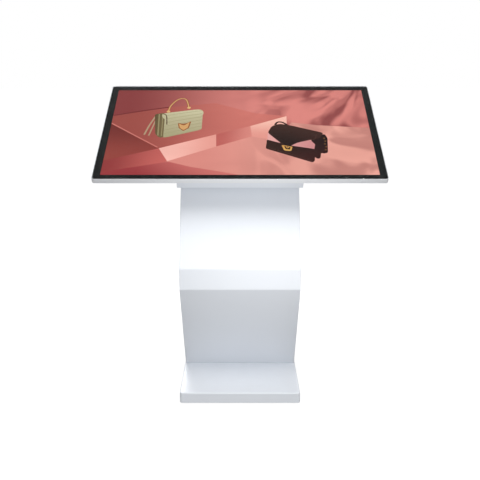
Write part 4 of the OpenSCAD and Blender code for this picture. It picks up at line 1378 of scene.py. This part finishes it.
@dataclass
class Fittings(SubAssembly):
    """Cooling fan, status light and power button."""

    dresses: Dresses = (
        Dress(BLACK_PLASTIC, 0.3 * MM, ("fan_frame", "fan_rotor")),
        Dress(FASTENER, 0.4 * MM, ("fan_guard",)),
        Dress(LENS_CLEAR, 0.2 * MM, ("indicator_lens",)),
        Dress(RIM_COAT, 0.25 * MM, ("button_bezel",)),
        Dress(BUTTON_WHITE, 0.5 * MM, ("power_button",), 3),
    )


# ---- Studio ----

@dataclass(frozen=True)
class Hanging:
    """Where a light hangs, in metres, and how it is turned, in degrees."""

    place: Triple
    turn: Triple


@dataclass
class Studio:
    """Pale floor, soft light and the camera; powers are in watts and angles in degrees."""

    camera_place: Triple = (0.0, -2.655, 1.162)
    camera_pitch: float = 13.35
    lens: float = 54.675
    film: float = 36.0
    floor_half: float = 40.0
    floor_top: float = -0.5 * MM
    floor_depth: float = 50 * MM
    low_sky: float = 0.43
    high_sky: float = 0.25
    sky_tint: Triple = (0.97, 0.985, 1.0)
    floor_shade: float = 0.36
    floor_glow: float = 0.75
    front_box: float = 3.0
    front_size: float = 0.7
    front_hung: Hanging = Hanging((0.30, -1.45, 0.80), (90.0, 0.0, 12.0))
    back_box: float = 42.0
    back_size: float = 1.4
    back_hung: Hanging = Hanging((-0.3, 2.4, 1.3), (72.0, 0.0, 187.0))
    lift: float = 27.0
    lift_cone: float = 50.0
    lift_radius: float = 0.25
    lift_hung: Hanging = Hanging((0.25, -1.5, 0.36), (101.0, 0.0, 9.5))
    sun: float = 1.8
    sun_soft: float = 45.0
    sun_hung: Hanging = Hanging((0.0, 0.0, 3.0), (30.0, 0.0, 8.0))

    def build(self, effects: Effects) -> None:
        """Makes the floor, the light and the camera.

        Args:
            effects: The shared surface effects.
        """
        self._floor(effects)
        self._sky()
        self._lights()
        self._camera()
        scene = bpy.context.scene
        scene.view_settings.view_transform = "Standard"
        scene.view_settings.look = "None"

    def _floor(self, effects: Effects) -> None:
        """Makes a plain pale floor."""
        material = bpy.data.materials.new("studio_floor")
        material.use_nodes = True
        material.node_tree.nodes.clear()
        sketch = Sketch(material.node_tree)
        skin = effects.grain.use(sketch, {"Scale": 60.0})
        shader = sketch.node("ShaderNodeBsdfPrincipled", {
            "Base Color": (self.floor_shade,) * 3,
            "Roughness": 0.8,
            "Specular IOR Level": 0.1,
            "Emission Color": (1.0, 1.0, 1.0),
            "Emission Strength": sketch.times(sketch.camera_ray(), self.floor_glow),
            "Normal": sketch.relief(skin["Height"], 0.02, 0.1 * MM),
        })
        sketch.node("ShaderNodeOutputMaterial", {"Surface": shader.outputs[0]})
        maker = MeshMaker()
        maker.slab(UPRIGHT, circle(self.floor_half, 64), -self.floor_depth, self.floor_top)
        floor = maker.finish("studio_floor", [material], smooth=False)

    def _sky(self) -> None:
        """Makes a sky that darkens overhead and looks white."""
        world = bpy.data.worlds.new("studio")
        bpy.context.scene.world = world
        world.use_nodes = True
        world.node_tree.nodes.clear()
        sketch = Sketch(world.node_tree)
        seen = sketch.camera_ray()
        height = sketch.ramp(sketch.parts(sketch.place("Generated"))[2], 0.35, 0.9)
        light = sketch.blend(height, self.low_sky, self.high_sky)
        sky = sketch.node("ShaderNodeBackground", {
            "Color": sketch.mix(seen, self.sky_tint, (1.0, 1.0, 1.0)),
            "Strength": sketch.blend(seen, light, 1.0),
        })
        sketch.node("ShaderNodeOutputWorld", {"Surface": sky.outputs[0]})

    def _lights(self) -> None:
        """Makes the key light from above, a soft box on either side and the front lift."""
        sun = self._lamp("key", "SUN", self.sun, self.sun_hung)
        sun.angle = math.radians(self.sun_soft)
        self._lamp("front_box", "AREA", self.front_box, self.front_hung).size = self.front_size
        self._lamp("back_box", "AREA", self.back_box, self.back_hung).size = self.back_size
        lift = self._lamp("lift", "SPOT", self.lift, self.lift_hung)
        lift.spot_size = math.radians(self.lift_cone)
        lift.spot_blend = 1.0
        lift.shadow_soft_size = self.lift_radius

    def _lamp(self, name: str, kind: str, power: float, hung: Hanging) -> bpy.types.Light:
        """Hangs a light where the camera doesn't see it.

        Args:
            name: Its name.
            kind: Its Blender type.
            power: Its power.
            hung: Where it hangs and how it is turned.

        Returns:
            The light's data.
        """
        data = bpy.data.lights.new(name, kind)
        data.energy = power
        light = bpy.data.objects.new(name, data)
        light.location = hung.place
        light.rotation_euler = [math.radians(a) for a in hung.turn]
        light.visible_camera = False
        bpy.context.scene.collection.objects.link(light)
        return data

    def _camera(self) -> None:
        """Makes the camera at standing height in front of the kiosk."""
        data = bpy.data.cameras.new("camera")
        data.lens = self.lens
        data.sensor_width = self.film
        camera = bpy.data.objects.new("camera", data)
        camera.location = self.camera_place
        camera.rotation_euler = (math.radians(90 - self.camera_pitch), 0.0, 0.0)
        bpy.context.scene.collection.objects.link(camera)
        bpy.context.scene.camera = camera


def main() -> None:
    """Builds the kiosk's looks, sub-assembly by sub-assembly, and reports each piece."""
    logging.basicConfig(level=logging.INFO, format="%(name)s: %(message)s")
    effects = Effects()
    paints = Paintbox(effects)
    for group in (Base, Leg, ServiceDoor, Neck, Screen, Electronics, Fittings):
        for name in group(paints).build():
            log.info("%s: %s", group.__name__, name)
    Studio().build(effects)


if __name__ == "__main__":
    main()
